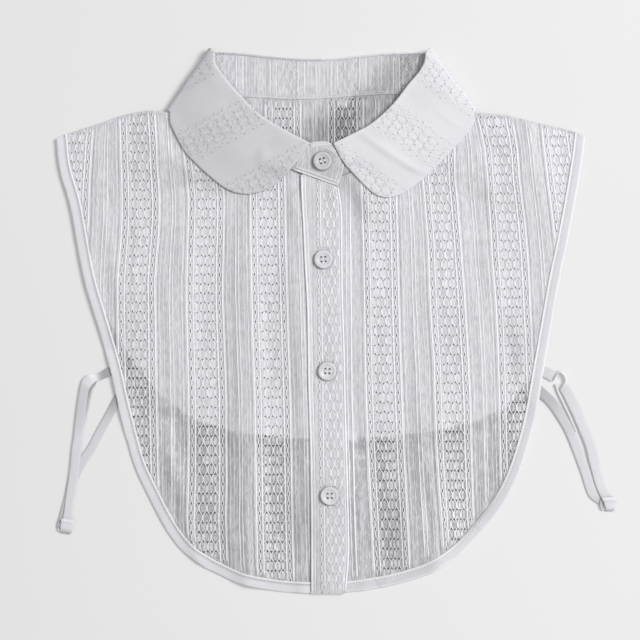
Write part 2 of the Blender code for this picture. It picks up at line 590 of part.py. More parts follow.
def build_button(name, across, down, turn, seat, mat, sides=28):
    """A turned button: flat foot, round rim, dished face and four holes."""
    r, h = BUTTON_DIAMETER / 2, BUTTON_THICK
    profile = ((0.0, h - 0.75), (r * 0.55, h - 0.75), (r * 0.68, h - 0.35), (r * 0.80, h - 0.02), (r * 0.90, h - 0.10),
               (r * 0.98, h - 0.60), (r, h - 1.1), (r * 0.96, 0.45), (r * 0.86, 0.0), (0.0, 0.0))
    verts, rings = [], []
    for rad, z in profile:
        if rad == 0.0:
            rings.append([len(verts)])
            verts.append((across, down, seat + z))
        else:
            ring = []
            for k in range(sides):
                a = 2 * math.pi * k / sides
                ring.append(len(verts))
                verts.append((across + rad * math.cos(a), down + rad * math.sin(a), seat + z))
            rings.append(ring)
    faces = []
    for a, b in zip(rings, rings[1:]):
        for k in range(sides):
            k2 = (k + 1) % sides
            if len(a) == 1:
                faces.append((a[0], b[k], b[k2]))
            elif len(b) == 1:
                faces.append((a[k], b[0], a[k2]))
            else:
                faces.append((a[k], b[k], b[k2], a[k2]))
    obj = add(name, place(np.array(verts)), faces, mat)
    for ix in (-1, 1):
        for iy in (-1, 1):
            c, s = math.cos(math.radians(turn)), math.sin(math.radians(turn))
            dx, dy = (ix * c - iy * s) * BUTTON_HOLE_PITCH / 2, (ix * s + iy * c) * BUTTON_HOLE_PITCH / 2
            x, y, z = place(np.array([[across + dx, down + dy, seat]]))[0]
            bm = bmesh.new()
            bmesh.ops.create_cone(bm, cap_ends=True, segments=8, radius1=BUTTON_HOLE / 2000, radius2=BUTTON_HOLE / 2000,
                                  depth=0.008)
            mesh = bpy.data.meshes.new(name + "_hole")
            bm.to_mesh(mesh)
            bm.free()
            cutter = bpy.data.objects.new(name + "_hole", mesh)
            cutter.location = (x, y, z + 0.001)
            cutter.hide_render = True
            cutter.display_type = "WIRE"
            bpy.context.scene.collection.objects.link(cutter)
            mod = obj.modifiers.new("hole", "BOOLEAN")
            mod.operation = "DIFFERENCE"
            mod.solver = "EXACT"
            mod.object = cutter
    return obj


def build():
    for obj in list(bpy.data.objects):
        bpy.data.objects.remove(obj, do_unlink=True)

    # Back panel: neck seam and shoulders along the top, inside its binding.
    inner = back_edge.side(BINDING_WIDTH + GAP)
    tip_a = shoulder_over(1 - (BINDING_WIDTH + GAP + 1.4) / shoulder_over.length)
    tip_b = shoulder_under(1 - (BINDING_WIDTH + GAP + 1.4) / shoulder_under.length)
    pts = inner.pts
    start = np.linalg.norm(pts - tip_a, axis=1).argmin() + 1
    stop = np.linalg.norm(pts - tip_b, axis=1).argmin()
    rim = Curve.__new__(Curve)
    rim.set(np.vstack([tip_a, pts[start:stop], tip_b]))
    top, corners = joined(
        shoulder_over.between(0, 1 - (BINDING_WIDTH + GAP + 1.4) / shoulder_over.length).reversed(),
        neck_of_back(),
        shoulder_under.between(0, 1 - (BINDING_WIDTH + GAP + 1.4) / shoulder_under.length))
    right_part = rim.pts[len(rim.pts) // 2:]
    k = len(rim.pts) // 2 + int(np.argmin(np.abs(right_part[:, 1] - 196.0)))
    low_right = rim.run[k] / rim.length
    left_part = rim.pts[:len(rim.pts) // 2]
    k = int(np.argmin(np.abs(left_part[:, 1] - 196.0)))
    low_left = rim.run[k] / rim.length
    plan = patch(top, rim.between(low_left, low_right), rim.between(0, low_left),
                 rim.between(low_right, 1.0).reversed(), spaced(28, corners), spaced(14))
    slab("back_panel", plan, back_level, CLOTH, "openwork_cotton")
    build_binding("binding_back", back_edge, 1, back_level, 0.0, "binding_tape", steps=72)

    # Fronts, bindings and placket.
    over_centre = placket_sewn.side(PLACKET_LAP)
    under_centre = placket_sewn.side(PLACKET_SPLIT)
    build_front("front_over", seam_over, seam_over.share_at(across=-7.9), shoulder_over, edge_over, over_centre,
                -1.3, "openwork_cotton", 1)
    build_front("front_under", seam_under, 0.0, shoulder_under, edge_under, under_centre,
                -0.2, "openwork_cotton", -1)
    build_binding("binding_front_over", edge_over, 1, front_level, BINDING_PROUD, "binding_tape")
    build_binding("binding_front_under", edge_under, -1, front_level, BINDING_PROUD, "binding_tape")

    top = seam_over.between(seam_over.share_at(across=-11.8), 0.0).side(-GAP)
    first, last = placket_sewn, placket_folded
    a, b = top(0.0), top(1.0)
    left = Curve.__new__(Curve)
    left.set(np.vstack([a, first.pts[first.pts[:, 1] > a[1] + 0.5]]))
    right = Curve.__new__(Curve)
    right.set(np.vstack([b, last.pts[last.pts[:, 1] > b[1] + 0.5]]))
    plan = patch(top, straight(left(1.0), right(1.0)), left, right, spaced(4), spaced(30))
    slab("placket", plan, placket_level, CLOTH, "openwork_cotton")

    skin("collar_stand", ring_grid("stand"), COLLAR_CLOTH, "collar_cotton")
    skin("collar_fall", ring_grid("fall"), COLLAR_CLOTH, "collar_cotton")
    build_strap("strap_over_side", strap_over, "strap_tape")
    build_strap("strap_under_side", strap_under, "strap_tape")

    for name, across, down, turn in BUTTONS:
        near = np.array([[across + dx, down + dy] for dx in (-5, 0, 5) for dy in (-5, 0, 5)])
        if name == "button_stand":
            seat = float((front_level(near) + CLOTH / 2 + PLACKET_LIFT + 0.1 + COLLAR_CLOTH / 2).max()) + GAP
        else:
            seat = float(placket_level(near).max()) + CLOTH + GAP
        build_button(name, across, down, turn, seat, "button_plastic")


def neck_of_back():
    """The back panel's neck edge: the stand's seam, one gap below it."""
    c = seam_back.between(0.0, 1.0)
    pts = c.pts.copy()
    pts[:, 1] += GAP + 0.05
    pts[0], pts[-1] = shoulder_over(0.0), shoulder_under(0.0)
    out = Curve.__new__(Curve)
    out.set(pts)
    return out


build()
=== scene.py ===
import math

import bmesh
import bpy
import mathutils
import numpy as np
from mathutils.bvhtree import BVHTree
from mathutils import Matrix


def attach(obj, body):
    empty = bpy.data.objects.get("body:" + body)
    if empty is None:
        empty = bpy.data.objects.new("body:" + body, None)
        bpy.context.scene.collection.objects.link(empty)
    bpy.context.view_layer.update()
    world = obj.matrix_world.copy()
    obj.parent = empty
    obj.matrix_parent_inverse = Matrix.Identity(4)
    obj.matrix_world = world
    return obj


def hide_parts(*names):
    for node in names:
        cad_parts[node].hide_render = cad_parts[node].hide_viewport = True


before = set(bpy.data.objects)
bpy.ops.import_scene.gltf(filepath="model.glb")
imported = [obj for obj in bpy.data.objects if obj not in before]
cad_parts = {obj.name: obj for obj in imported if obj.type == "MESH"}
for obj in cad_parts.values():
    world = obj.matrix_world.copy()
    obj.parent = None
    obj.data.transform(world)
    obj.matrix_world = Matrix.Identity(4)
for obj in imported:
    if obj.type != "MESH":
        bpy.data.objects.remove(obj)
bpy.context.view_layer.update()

# ---------------------------------------------------------------- sizes (mm)
CLOTH = 1.0                # wall of a single panel, with its seam allowances
COLLAR_CLOTH = 1.2         # wall of the stand and of the fall, both interfaced
GAP = 0.3                  # between pieces that are sewn or lie together
FRONT_LIFT = CLOTH + 0.45  # what the back panel adds to the pile below the fronts
COLLAR_LAYER = COLLAR_CLOTH + GAP
BINDING_WIDTH = 6.9        # finished tape along armholes and hem
BINDING_PROUD = 0.25       # how much the bound edge is thicker than its panel
STRAP_WIDTH = 5.0
STRAP_THICK = 1.0
PLACKET_LAP = 4.5          # the over front runs this far under the placket band
PLACKET_SPLIT = 5.6        # and the under front starts this far under it
BUTTON_DIAMETER = 11.5
BUTTON_THICK = 2.4
BUTTON_HOLE = 1.45
BUTTON_HOLE_PITCH = 2.5
ROLL_RADIUS = COLLAR_LAYER / 2    # half circle that joins the stand's plane to the fall's
ROLL_START = 1.5           # from the fold to where the fall is sewn to the stand
PLACKET_LIFT = CLOTH + BINDING_PROUD + GAP
NECK_RAISE = 1.1           # the neck seam stands up this much over the panels
NECK_REACH = 13.0          # and this far to each side
FALL_MARGIN = 3.0          # the back panel lies clear of the fall below it this far past its edge
FALL_RAMP = 22.0           # and then comes down to the surface over this length
HEM_MARGIN = 3.0           # the same for the fronts at the back panel's hem
HEM_RAMP = 16.0
COVER_CLEAR = 2.1          # middle of the fall above the panel that it lies on
CREST_SIDE = 8.0           # middle of the fall's cloth at its fold, at the sides of the neck
CREST_FRONT_OVER = 7.4     # the same where the over fall ends at the front
CREST_FRONT_UNDER = 7.2    # the same where the under fall ends at the front
BACK_FALL_Z = COLLAR_CLOTH / 2    # the back of the fall lies on the surface
BACK_STAND_Z = BACK_FALL_Z + COLLAR_LAYER

MIDDLE_ACROSS = 7.85       # the outline's middle in the tables' frame
MIDDLE_DOWN = 166.7

# ---------------------------------------------------------------- tables (mm)
# Visible fold of the collar, from the front end of each fall round to the side of the neck.
FOLD_OVER = (  # across, down
    (-6.1, 58.3), (-21.0, 50.6), (-37.5, 40.3), (-49.1, 28.7), (-59.5, 16.5), (-63.9, 9.0), (-64.2, 2.6))
FOLD_UNDER = (
    (7.6, 58.3), (17.4, 53.7), (30.2, 47.0), (43.3, 35.4), (53.4, 22.6), (60.1, 14.6), (63.0, 9.0), (63.9, 2.7))
FOLD_BACK = (
    (-64.2, 2.6), (-49.1, 3.2), (-29.6, 5.2), (-8.2, 6.7), (7.6, 6.3), (30.2, 3.9), (48.5, 2.8), (63.9, 2.7))

# The fall's front edge, from the fold to the rounded tip, and its outer edge on to the side.
TIP_OVER = ((-6.1, 58.3), (-13.1, 68.3), (-19.8, 76.2), (-26.5, 83.0), (-35.1, 87.5), (-43.0, 89.3))
OUTER_OVER = (
    (-43.0, 89.3), (-50.9, 88.5), (-58.3, 85.4), (-65.6, 79.9), (-74.4, 72.0), (-82.0, 64.0), (-88.8, 51.9),
    (-91.4, 45.5), (-91.5, 39.6))
TIP_UNDER = ((7.6, 58.3), (13.1, 68.9), (21.7, 78.7), (29.6, 86.6), (35.1, 90.3), (41.2, 91.5))
OUTER_UNDER = (
    (41.2, 91.5), (48.5, 89.7), (54.0, 86.6), (68.6, 74.4), (81.4, 61.0), (90.2, 51.0), (93.2, 45.5), (93.3, 39.9))
OUTER_BACK = (
    (-91.5, 39.6), (-73.5, 50.6), (-43.0, 56.7), (0.0, 57.9), (48.5, 55.5), (72.9, 50.6), (93.3, 39.9))

# Neck seam: the stand's lower edge.  The over side ends in the tab, the under side runs on below it.
SEAM_OVER = (
    (10.7, 84.5), (-3.4, 79.6), (-17.4, 74.4), (-33.2, 67.7), (-48.5, 57.9), (-63.7, 43.3), (-72.5, 29.9))
SEAM_UNDER = ((-5.6, 83.4), (11.3, 78.7), (26.5, 72.0), (42.4, 64.0), (58.9, 50.0), (70.5, 36.6), (74.6, 29.9))
SEAM_BACK = ((-72.5, 29.9), (-49.1, 30.2), (-33.9, 30.8), (-16.8, 31.7), (7.0, 30.8), (24.1, 29.5), (49.7, 28.4),
             (74.6, 29.9))
TAB_END = ((3.6, 60.6), (8.2, 62.4), (11.9, 66.5), (13.7, 72.0), (13.1, 78.1), (10.7, 84.5))
UNDER_END = ((-3.4, 60.6), (-4.6, 63.0), (-5.4, 67.0), (-5.6, 72.0), (-5.6, 78.0), (-5.6, 83.4))

# Shoulder line, from the neck seam to the shoulder tip, front and back panels alike.
SHOULDER_OVER = (
    (-73.4, 31.4), (-82.7, 37.4), (-88.8, 39.9), (-94.2, 39.8), (-103.0, 39.0), (-112.5, 39.9), (-122.3, 42.3),
    (-133.0, 46.2), (-143.9, 49.7), (-153.1, 52.7), (-161.0, 55.7))
SHOULDER_UNDER = (
    (75.6, 31.4), (85.1, 38.3), (91.2, 40.7), (96.1, 40.5), (106.9, 40.9), (118.9, 42.9), (131.5, 46.2),
    (143.3, 48.6), (154.3, 51.6), (161.3, 54.9))

# Outer edge of the bound armhole and hem, from the shoulder tip to the placket.
EDGE_OVER = (
    (-161.0, 55.7), (-159.1, 73.2), (-153.1, 94.5), (-144.3, 140.3), (-135.1, 172.0), (-128.6, 194.6),
    (-122.9, 219.4), (-113.9, 253.8), (-107.4, 268.4), (-93.6, 294.6), (-84.1, 306.8), (-72.9, 315.2),
    (-61.3, 321.5), (-49.1, 326.7), (-24.1, 331.5), (-1.5, 332.6))
EDGE_UNDER = (
    (161.3, 54.9), (160.6, 61.0), (158.0, 78.7), (151.0, 116.5), (145.7, 141.9), (136.5, 194.0), (128.4, 236.5),
    (115.0, 272.7), (96.1, 297.9), (83.3, 310.5), (68.6, 319.6), (53.1, 325.3), (37.5, 328.9),
    (16.0, 332.0), (0.0, 332.6))

# Placket band: its sewn edge and its folded edge, and the under front's hem end.
PLACKET_SEWN = (
    (-12.0, 77.0), (-11.9, 86.0), (-10.7, 109.8), (-9.5, 135.4), (-8.2, 161.0), (-7.6, 203.7), (-6.4, 245.2),
    (-5.9, 287.3), (-5.8, 332.6))
PLACKET_FOLDED = (
    (11.2, 85.4), (12.9, 97.6), (13.4, 126.9), (13.7, 152.5), (14.7, 182.4), (15.6, 224.5), (16.8, 266.6),
    (17.4, 308.7), (15.6, 332.6))

# Back panel: free edge of its bound armholes and hem, shoulder tip to shoulder tip.
BACK_EDGE = (
    (-160.0, 56.0), (-158.0, 73.2), (-152.0, 94.5), (-143.2, 132.0), (-134.0, 155.0), (-123.5, 174.0),
    (-116.2, 185.5), (-104.0, 202.5), (-88.8, 217.8), (-73.5, 226.9), (-58.3, 231.5), (-12.5, 237.0), (18.0, 236.6),
    (48.5, 235.5), (79.0, 230.0), (108.5, 221.0), (122.3, 208.6), (130.6, 191.5), (137.6, 166.5), (143.4, 141.9),
    (149.6, 116.5), (156.9, 78.7), (159.4, 61.0), (160.2, 55.2))

# Side straps: middle of the tape, from where it is sewn under the front's edge, out to the turned loop,
# and back in under the front to the back panel's edge.  "layer" is 1 where it lies on its own other run.
STRAP_OVER = (  # across, down, layer
    (-125.0, 195.4, 0), (-129.6, 197.6, 0), (-134.5, 200.3, 0), (-139.6, 203.3, 0), (-143.2, 207.6, 0),
    (-145.6, 216.5, 0), (-148.2, 233.0, 0.5), (-150.1, 251.3, 1), (-152.2, 269.6, 1), (-154.0, 284.0, 1), (-155.6, 290.2, 1),
    (-158.4, 291.9, 0.5), (-160.4, 289.4, 0), (-159.2, 283.0, 0), (-155.9, 273.9, 0), (-151.6, 262.3, 0),
    (-145.5, 250.0, 0), (-137.6, 234.6, 0), (-130.2, 221.4, 0), (-123.4, 208.6, 0), (-116.4, 191.8, 0))
STRAP_UNDER = (
    (134.2, 194.6, 0), (137.6, 196.4, 0), (143.0, 199.4, 0), (147.6, 202.0, 0), (151.6, 207.6, 0),
    (155.6, 218.0, 0), (161.0, 233.0, 0.5), (165.4, 245.2, 1), (169.6, 259.7, 1), (173.6, 271.0, 1), (176.1, 277.6, 1),
    (175.6, 281.0, 0.5), (172.6, 281.6, 0), (169.6, 277.6, 0), (164.4, 262.3, 0), (158.3, 245.2, 0),
    (151.6, 230.8, 0), (143.6, 218.4, 0), (135.6, 209.4, 0), (128.6, 202.9, 0))

# Soft folds that run down the two fronts.
FOLDS = (  # across and down of the top, across and down of the foot, height, half width
    (-52.0, 110.0, -34.0, 300.0, 0.9, 9.0),
    (-92.0, 85.0, -84.0, 245.0, 0.6, 8.0),
    (-131.0, 92.0, -112.0, 190.0, 0.5, 7.0),
    (36.0, 125.0, 41.0, 290.0, 0.8, 9.0),
    (84.0, 100.0, 86.0, 250.0, 0.7, 9.0),
    (122.0, 80.0, 119.0, 200.0, 0.5, 8.0))

BUTTONS = (  # name, across, down, turn of its holes in degrees
    ("button_stand", 1.2, 69.4, -15.0),
    ("button_1", 1.8, 129.0, -4.0),
    ("button_2", 4.2, 197.0, 3.0),
    ("button_3", 5.6, 272.9, -2.0))

# ---------------------------------------------------------------- what only the looks need
PARITY = 1
CLOTH_LOW = 0.2            # underside of the thin cloth above the solid's underside
CLOTH_THIN = 0.45
ANCHOR_OVER, ABOVE_OVER, BELOW_OVER = (368.4 - 48) * 0.61, 9.38 * 0.61, 9.63 * 0.61
ANCHOR_UNDER, ABOVE_UNDER, BELOW_UNDER = (382.8 - 48) * 0.61, 9.46 * 0.61, 9.75 * 0.61
STAND_FIRST, STAND_PITCH = (225.5 - 320.5) * 0.61, 61.5 * 0.61
KEY_AT, KEY_SIZE, KEY_POWER = (1.45, 0.60, 2.00), (1.10, 1.10), 51.5
FILL_AT, FILL_POWER = (-0.8, -0.6, 2.4), 6.0
WORLD_LIGHT = 0.35
CREASES = (  # across and down of three points of a curve, in the drawing's units; height and half width in mm
    (249, 130, 250, 360, 250, 690, 2.3, 9.5), (240, 470, 246, 550, 247, 640, 0.8, 5.0), (300, 240, 302, 420, 303, 720, 1.3, 4.6),
    (291, 180, 294, 215, 300, 262, 0.8, 2.4), (181, 180, 186, 300, 188, 440, 1.5, 8.0), (164, 430, 180, 490, 204, 580, 1.9, 4.6),
    (96, 158, 150, 152, 214, 202, 1.7, 7.5), (112, 325, 126, 352, 142, 400, 0.8, 2.6), (528, 106, 530, 165, 556, 260, 2.0, 9.0),
    (474, 112, 478, 150, 494, 230, 1.5, 5.5), (356, 150, 367, 200, 368, 330, 1.2, 5.0), (424, 190, 430, 380, 434, 690, 1.8, 9.0),
    (430, 400, 437, 500, 438, 620, 1.0, 5.0), (486, 225, 493, 320, 499, 420, 1.3, 7.0), (362, 300, 363, 420, 366, 660, 0.9, 4.5),
    (404, 500, 398, 540, 380, 600, 0.9, 3.2), (506, 300, 518, 350, 524, 400, 1.2, 4.5), (100, 200, 112, 250, 120, 320, 0.8, 4.0))
# painted shade (below 0) and painted light (above 0) in the cloth's colour, for hollows beside falls and folds that
# lose light and rises that catch it: ends and middle as above, share of the light, half width in mm
DIMS = (
    (346, 160, 350, 190, 362, 222, -0.20, 4.5), (120, 130, 180, 172, 262, 206, -0.10, 5.0), (286, 172, 290, 210, 300, 260, -0.08, 4.0),
    (222, 200, 226, 330, 236, 520, -0.05, 6.0), (286, 260, 296, 350, 304, 430, -0.06, 5.0), (300, 420, 312, 500, 318, 600, -0.06, 8.0),
    (432, 165, 470, 188, 505, 205, -0.07, 6.0), (482, 128, 492, 145, 508, 160, -0.06, 5.0), (395, 480, 396, 530, 396, 580, -0.08, 5.0),
    (382, 395, 392, 430, 396, 460, -0.05, 4.0), (505, 310, 516, 345, 522, 385, -0.07, 5.0), (150, 430, 170, 490, 205, 545, -0.07, 4.0),
    (222, 500, 230, 540, 236, 580, -0.06, 5.0), (345, 420, 362, 470, 372, 520, 0.05, 8.0), (440, 480, 455, 520, 468, 560, 0.06, 7.0),
    (170, 420, 178, 460, 186, 500, 0.05, 5.0), (236, 430, 239, 470, 241, 515, -0.06, 4.0), (258, 425, 260, 480, 262, 530, 0.06, 5.0),
    (282, 265, 298, 340, 304, 400, -0.06, 4.5), (205, 500, 220, 530, 240, 565, -0.06, 5.0), (300, 480, 316, 540, 322, 600, -0.07, 9.0),
    (395, 480, 396, 530, 396, 580, -0.05, 4.5), (416, 490, 418, 525, 420, 560, 0.06, 4.0), (150, 160, 200, 184, 250, 197, -0.08, 3.5),
    (512, 310, 520, 345, 526, 390, -0.06, 4.0), (352, 178, 366, 205, 372, 235, -0.09, 4.0), (330, 478, 334, 500, 332, 530, -0.06, 4.0),
    (342, 172, 345, 184, 349, 198, -0.08, 3.0), (384, 196, 402, 204, 424, 214, 0.06, 6.0), (534, 305, 536, 335, 534, 368, -0.08, 4.0),
    (488, 400, 510, 414, 524, 430, 0.06, 7.0), (114, 340, 121, 360, 128, 384, 0.07, 4.0), (156, 300, 165, 330, 170, 372, 0.04, 7.0),
    (262, 432, 266, 500, 268, 580, 0.07, 5.0), (243, 440, 246, 480, 248, 520, -0.06, 4.5), (206, 440, 214, 465, 220, 490, -0.05, 4.0),
    (340, 428, 352, 445, 368, 462, 0.05, 6.0), (318, 466, 324, 482, 330, 500, -0.05, 5.0), (286, 500, 295, 524, 302, 548, -0.07, 5.0),
    (300, 576, 310, 583, 322, 588, -0.14, 4.0), (392, 520, 396, 545, 398, 572, -0.06, 4.5), (420, 490, 426, 520, 430, 556, 0.07, 4.0),
    (448, 490, 456, 522, 460, 552, 0.06, 4.5), (548, 142, 560, 160, 566, 184, 0.05, 7.0), (276, 200, 279, 300, 281, 392, -0.05, 3.5),
    (286, 205, 294, 220, 300, 238, -0.06, 3.5), (324, 189, 329, 195, 334, 202, -0.10, 2.4), (112, 150, 160, 170, 236, 198, -0.05, 4.5),
    (126, 332, 134, 350, 143, 374, -0.06, 3.0), (112, 336, 120, 360, 127, 386, 0.05, 3.5), (476, 320, 480, 350, 484, 385, 0.035, 5.0),
    (500, 405, 515, 416, 522, 428, 0.06, 5.0), (278, 340, 280, 365, 282, 392, -0.05, 3.5), (238, 196, 240, 222, 244, 255, -0.05, 5.0),
    (258, 205, 261, 238, 264, 275, 0.035, 4.0), (505, 178, 520, 205, 534, 240, -0.045, 5.0), (446, 170, 456, 166, 466, 158, -0.05, 4.0),
    (470, 138, 474, 152, 482, 166, 0.06, 2.6), (222, 525, 230, 540, 238, 560, -0.05, 3.5), (410, 505, 416, 522, 424, 548, 0.04, 4.0),
    (484, 160, 488, 190, 490, 220, -0.04, 5.0), (534, 320, 536, 345, 535, 372, -0.06, 5.0), (306, 470, 308, 520, 309, 575, -0.05, 2.5), (400, 450, 440, 490, 480, 530, 0.03, 25.0),
    (154, 124, 166, 143, 177, 157, 0.10, 3.2), (182, 146, 185, 149, 188, 152, 0.12, 1.8), (180, 165, 183, 178, 186, 190, -0.07, 4.0),
    (167, 176, 168, 184, 170, 192, -0.09, 4.0), (178, 452, 181, 465, 184, 480, 0.12, 3.6), (162, 418, 172, 428, 184, 438, 0.10, 4.5),
    (356, 436, 358, 460, 362, 500, 0.075, 6.0), (426, 438, 430, 452, 434, 468, 0.09, 5.0), (292, 480, 296, 520, 300, 560, -0.05, 4.0),
    (396, 470, 397, 520, 398, 570, -0.05, 6.0))
# painted shade and painted light on the two falls, in the same rows as DIMS
FALL_DIMS = (
    (196, 66, 206, 84, 222, 104, -0.04, 4.5), (176, 100, 190, 122, 204, 140, -0.03, 5.0), (230, 150, 255, 160, 280, 170, 0.04, 6.0),
    (196, 78, 214, 96, 236, 114, 0.03, 3.0), (382, 118, 400, 132, 420, 150, 0.03, 4.0), (400, 84, 412, 96, 430, 110, -0.03, 4.0),
    (360, 150, 366, 168, 372, 184, 0.03, 3.0),
    (355, 133, 376, 150, 397, 163, -0.08, 1.4), (396, 163, 412, 171, 429, 178, -0.13, 1.3), (367, 139, 392, 156, 421, 171, 0.05, 1.3),
    (432, 112, 446, 122, 461, 132, -0.06, 1.2), (436, 108, 450, 119, 464, 129, 0.04, 1.2), (418, 83, 440, 99, 463, 116, -0.05, 1.0),
    (362, 126, 372, 132, 384, 141, -0.05, 2.2), (198, 72, 208, 86, 220, 104, -0.04, 5.0),
    (272, 138, 285, 146, 298, 152, -0.04, 3.5))
# pieces whose colour takes the painted shade and light of dims() or collar_dims(), as a 'dim' attribute
DIMMED = ("front_", "placket", "collar_stand_cloth", "collar_stitches", "collar_fall")
FALL_DENTS = (  # across and down of two points, height, half width
    (24.0, 52.0, 60.0, 76.0, 0.62, 2.3),
)
# ---------------------------------------------------------------- curves and levels
class Curve:
    """A smooth curve through a table's rows, read by its share of the length, 0 to 1."""

    def __init__(self, rows, steps=16):
        p = np.array(rows, float)
        ext = np.vstack([2 * p[0] - p[1], p, 2 * p[-1] - p[-2]])
        knots = np.concatenate([[0], np.cumsum(np.linalg.norm(np.diff(ext[:, :2], axis=0), axis=1) ** 0.5)])
        dense = []
        for i in range(1, len(ext) - 2):
            t0, t1, t2, t3 = knots[i - 1:i + 3]
            p0, p1, p2, p3 = ext[i - 1:i + 3]
            last = i == len(ext) - 3
            for k in range(steps + (1 if last else 0)):
                t = t1 + (t2 - t1) * k / steps
                a1 = (t1 - t) / (t1 - t0) * p0 + (t - t0) / (t1 - t0) * p1
                a2 = (t2 - t) / (t2 - t1) * p1 + (t - t1) / (t2 - t1) * p2
                a3 = (t3 - t) / (t3 - t2) * p2 + (t - t2) / (t3 - t2) * p3
                b1 = (t2 - t) / (t2 - t0) * a1 + (t - t0) / (t2 - t0) * a2
                b2 = (t3 - t) / (t3 - t1) * a2 + (t - t1) / (t3 - t1) * a3
                dense.append((t2 - t) / (t2 - t1) * b1 + (t - t1) / (t2 - t1) * b2)
        self.set(np.array(dense))

    def set(self, dense):
        self.pts = dense
        self.run = np.concatenate([[0], np.cumsum(np.linalg.norm(np.diff(dense[:, :2], axis=0), axis=1))])
        self.length = self.run[-1]

    def __call__(self, u):
        s = np.asarray(u, float) * self.length
        return np.stack([np.interp(s, self.run, self.pts[:, k]) for k in range(self.pts.shape[1])], axis=-1)

    def side(self, distance):
        """The same curve moved sideways, to the left of its run for a positive distance."""
        d = np.gradient(self.pts[:, :2], axis=0)
        d /= np.linalg.norm(d, axis=1)[:, None]
        out = Curve.__new__(Curve)
        moved = self.pts.copy()
        moved[:, 0] += distance * d[:, 1]
        moved[:, 1] -= distance * d[:, 0]
        keep = [0]
        for i in range(1, len(moved)):
            if np.dot(moved[i, :2] - moved[keep[-1], :2], d[i]) > 1e-6:
                keep.append(i)
        out.set(moved[keep])
        return out

    def between(self, a, b, n=60):
        out = Curve.__new__(Curve)
        out.set(self(np.linspace(a, b, n)))
        return out

    def reversed(self):
        out = Curve.__new__(Curve)
        out.set(self.pts[::-1].copy())
        return out

    def share_at(self, across=None, down=None):
        """Share of the length where the curve comes nearest a value of across, or of down."""
        k, value = (0, across) if across is not None else (1, down)
        return self.run[int(np.argmin(np.abs(self.pts[:, k] - value)))] / self.length


def joined(*curves):
    """Several curves end to end, each keeping its share; returns the curve and the shares of the joints."""
    pts = [curves[0].pts]
    for c in curves[1:]:
        pts.append(c.pts[1:])
    out = Curve.__new__(Curve)
    out.set(np.vstack(pts))
    lengths = np.cumsum([c.length for c in curves])
    return out, list(lengths[:-1] / lengths[-1])


def straight(a, b, n=24):
    out = Curve.__new__(Curve)
    a, b = np.asarray(a, float), np.asarray(b, float)
    out.set(a + (b - a) * np.linspace(0, 1, n)[:, None])
    return out


def patch(top, bottom, first, last, u, v):
    """Plan points of a four-sided patch: top and bottom run along u, first and last along v."""
    U, V = np.meshgrid(u, v, indexing="ij")
    T, B = top(U), bottom(U)
    L, R = first(V), last(V)
    c00, c10, c01, c11 = top(0.0), top(1.0), bottom(0.0), bottom(1.0)
    U, V = U[..., None], V[..., None]
    return ((1 - V) * T + V * B + (1 - U) * L + U * R
            - ((1 - U) * (1 - V) * c00 + U * (1 - V) * c10 + (1 - U) * V * c01 + U * V * c11))


def step(x):
    x = np.clip(x, 0.0, 1.0)
    return x * x * (3 - 2 * x)


def outside(points, outline):
    """Distance of plan points from a closed outline, 0 inside it."""
    shape = points.shape[:-1]
    p = points[..., :2].reshape(-1, 2)
    a = outline
    b = np.roll(outline, -1, axis=0)
    ab = b - a
    t = ((p[:, None] - a) * ab).sum(-1) / np.maximum((ab * ab).sum(-1), 1e-12)
    near = a + np.clip(t, 0, 1)[..., None] * ab
    d = np.linalg.norm(p[:, None] - near, axis=-1).min(axis=1)
    cross = (a[:, 1] > p[:, 1:2]) != (b[:, 1] > p[:, 1:2])
    with np.errstate(divide="ignore", invalid="ignore"):
        x = a[:, 0] + (p[:, 1:2] - a[:, 1]) * ab[:, 0] / ab[:, 1]
    inside = (np.where(cross, p[:, :1] < x, False).sum(axis=1) % 2).astype(bool)
    d[inside] = 0.0
    return d.reshape(shape)


def along(points, line):
    """Distance of plan points from an open line."""
    p = points[..., :2].reshape(-1, 2)
    a, b = line[:-1, :2], line[1:, :2]
    ab = b - a
    t = ((p[:, None] - a) * ab).sum(-1) / np.maximum((ab * ab).sum(-1), 1e-12)
    near = a + np.clip(t, 0, 1)[..., None] * ab
    return np.linalg.norm(p[:, None] - near, axis=-1).min(axis=1).reshape(points.shape[:-1])


fold_over, fold_under, fold_back = Curve(FOLD_OVER), Curve(FOLD_UNDER), Curve(FOLD_BACK)
tip_over, tip_under = Curve(TIP_OVER), Curve(TIP_UNDER)
outer_over, outer_under, outer_back = Curve(OUTER_OVER), Curve(OUTER_UNDER), Curve(OUTER_BACK)
seam_over, seam_under, seam_back = Curve(SEAM_OVER), Curve(SEAM_UNDER), Curve(SEAM_BACK)
shoulder_over, shoulder_under = Curve(SHOULDER_OVER), Curve(SHOULDER_UNDER)
edge_over, edge_under, back_edge = Curve(EDGE_OVER), Curve(EDGE_UNDER), Curve(BACK_EDGE)
placket_sewn, placket_folded = Curve(PLACKET_SEWN), Curve(PLACKET_FOLDED)
strap_over, strap_under = Curve(STRAP_OVER), Curve(STRAP_UNDER)

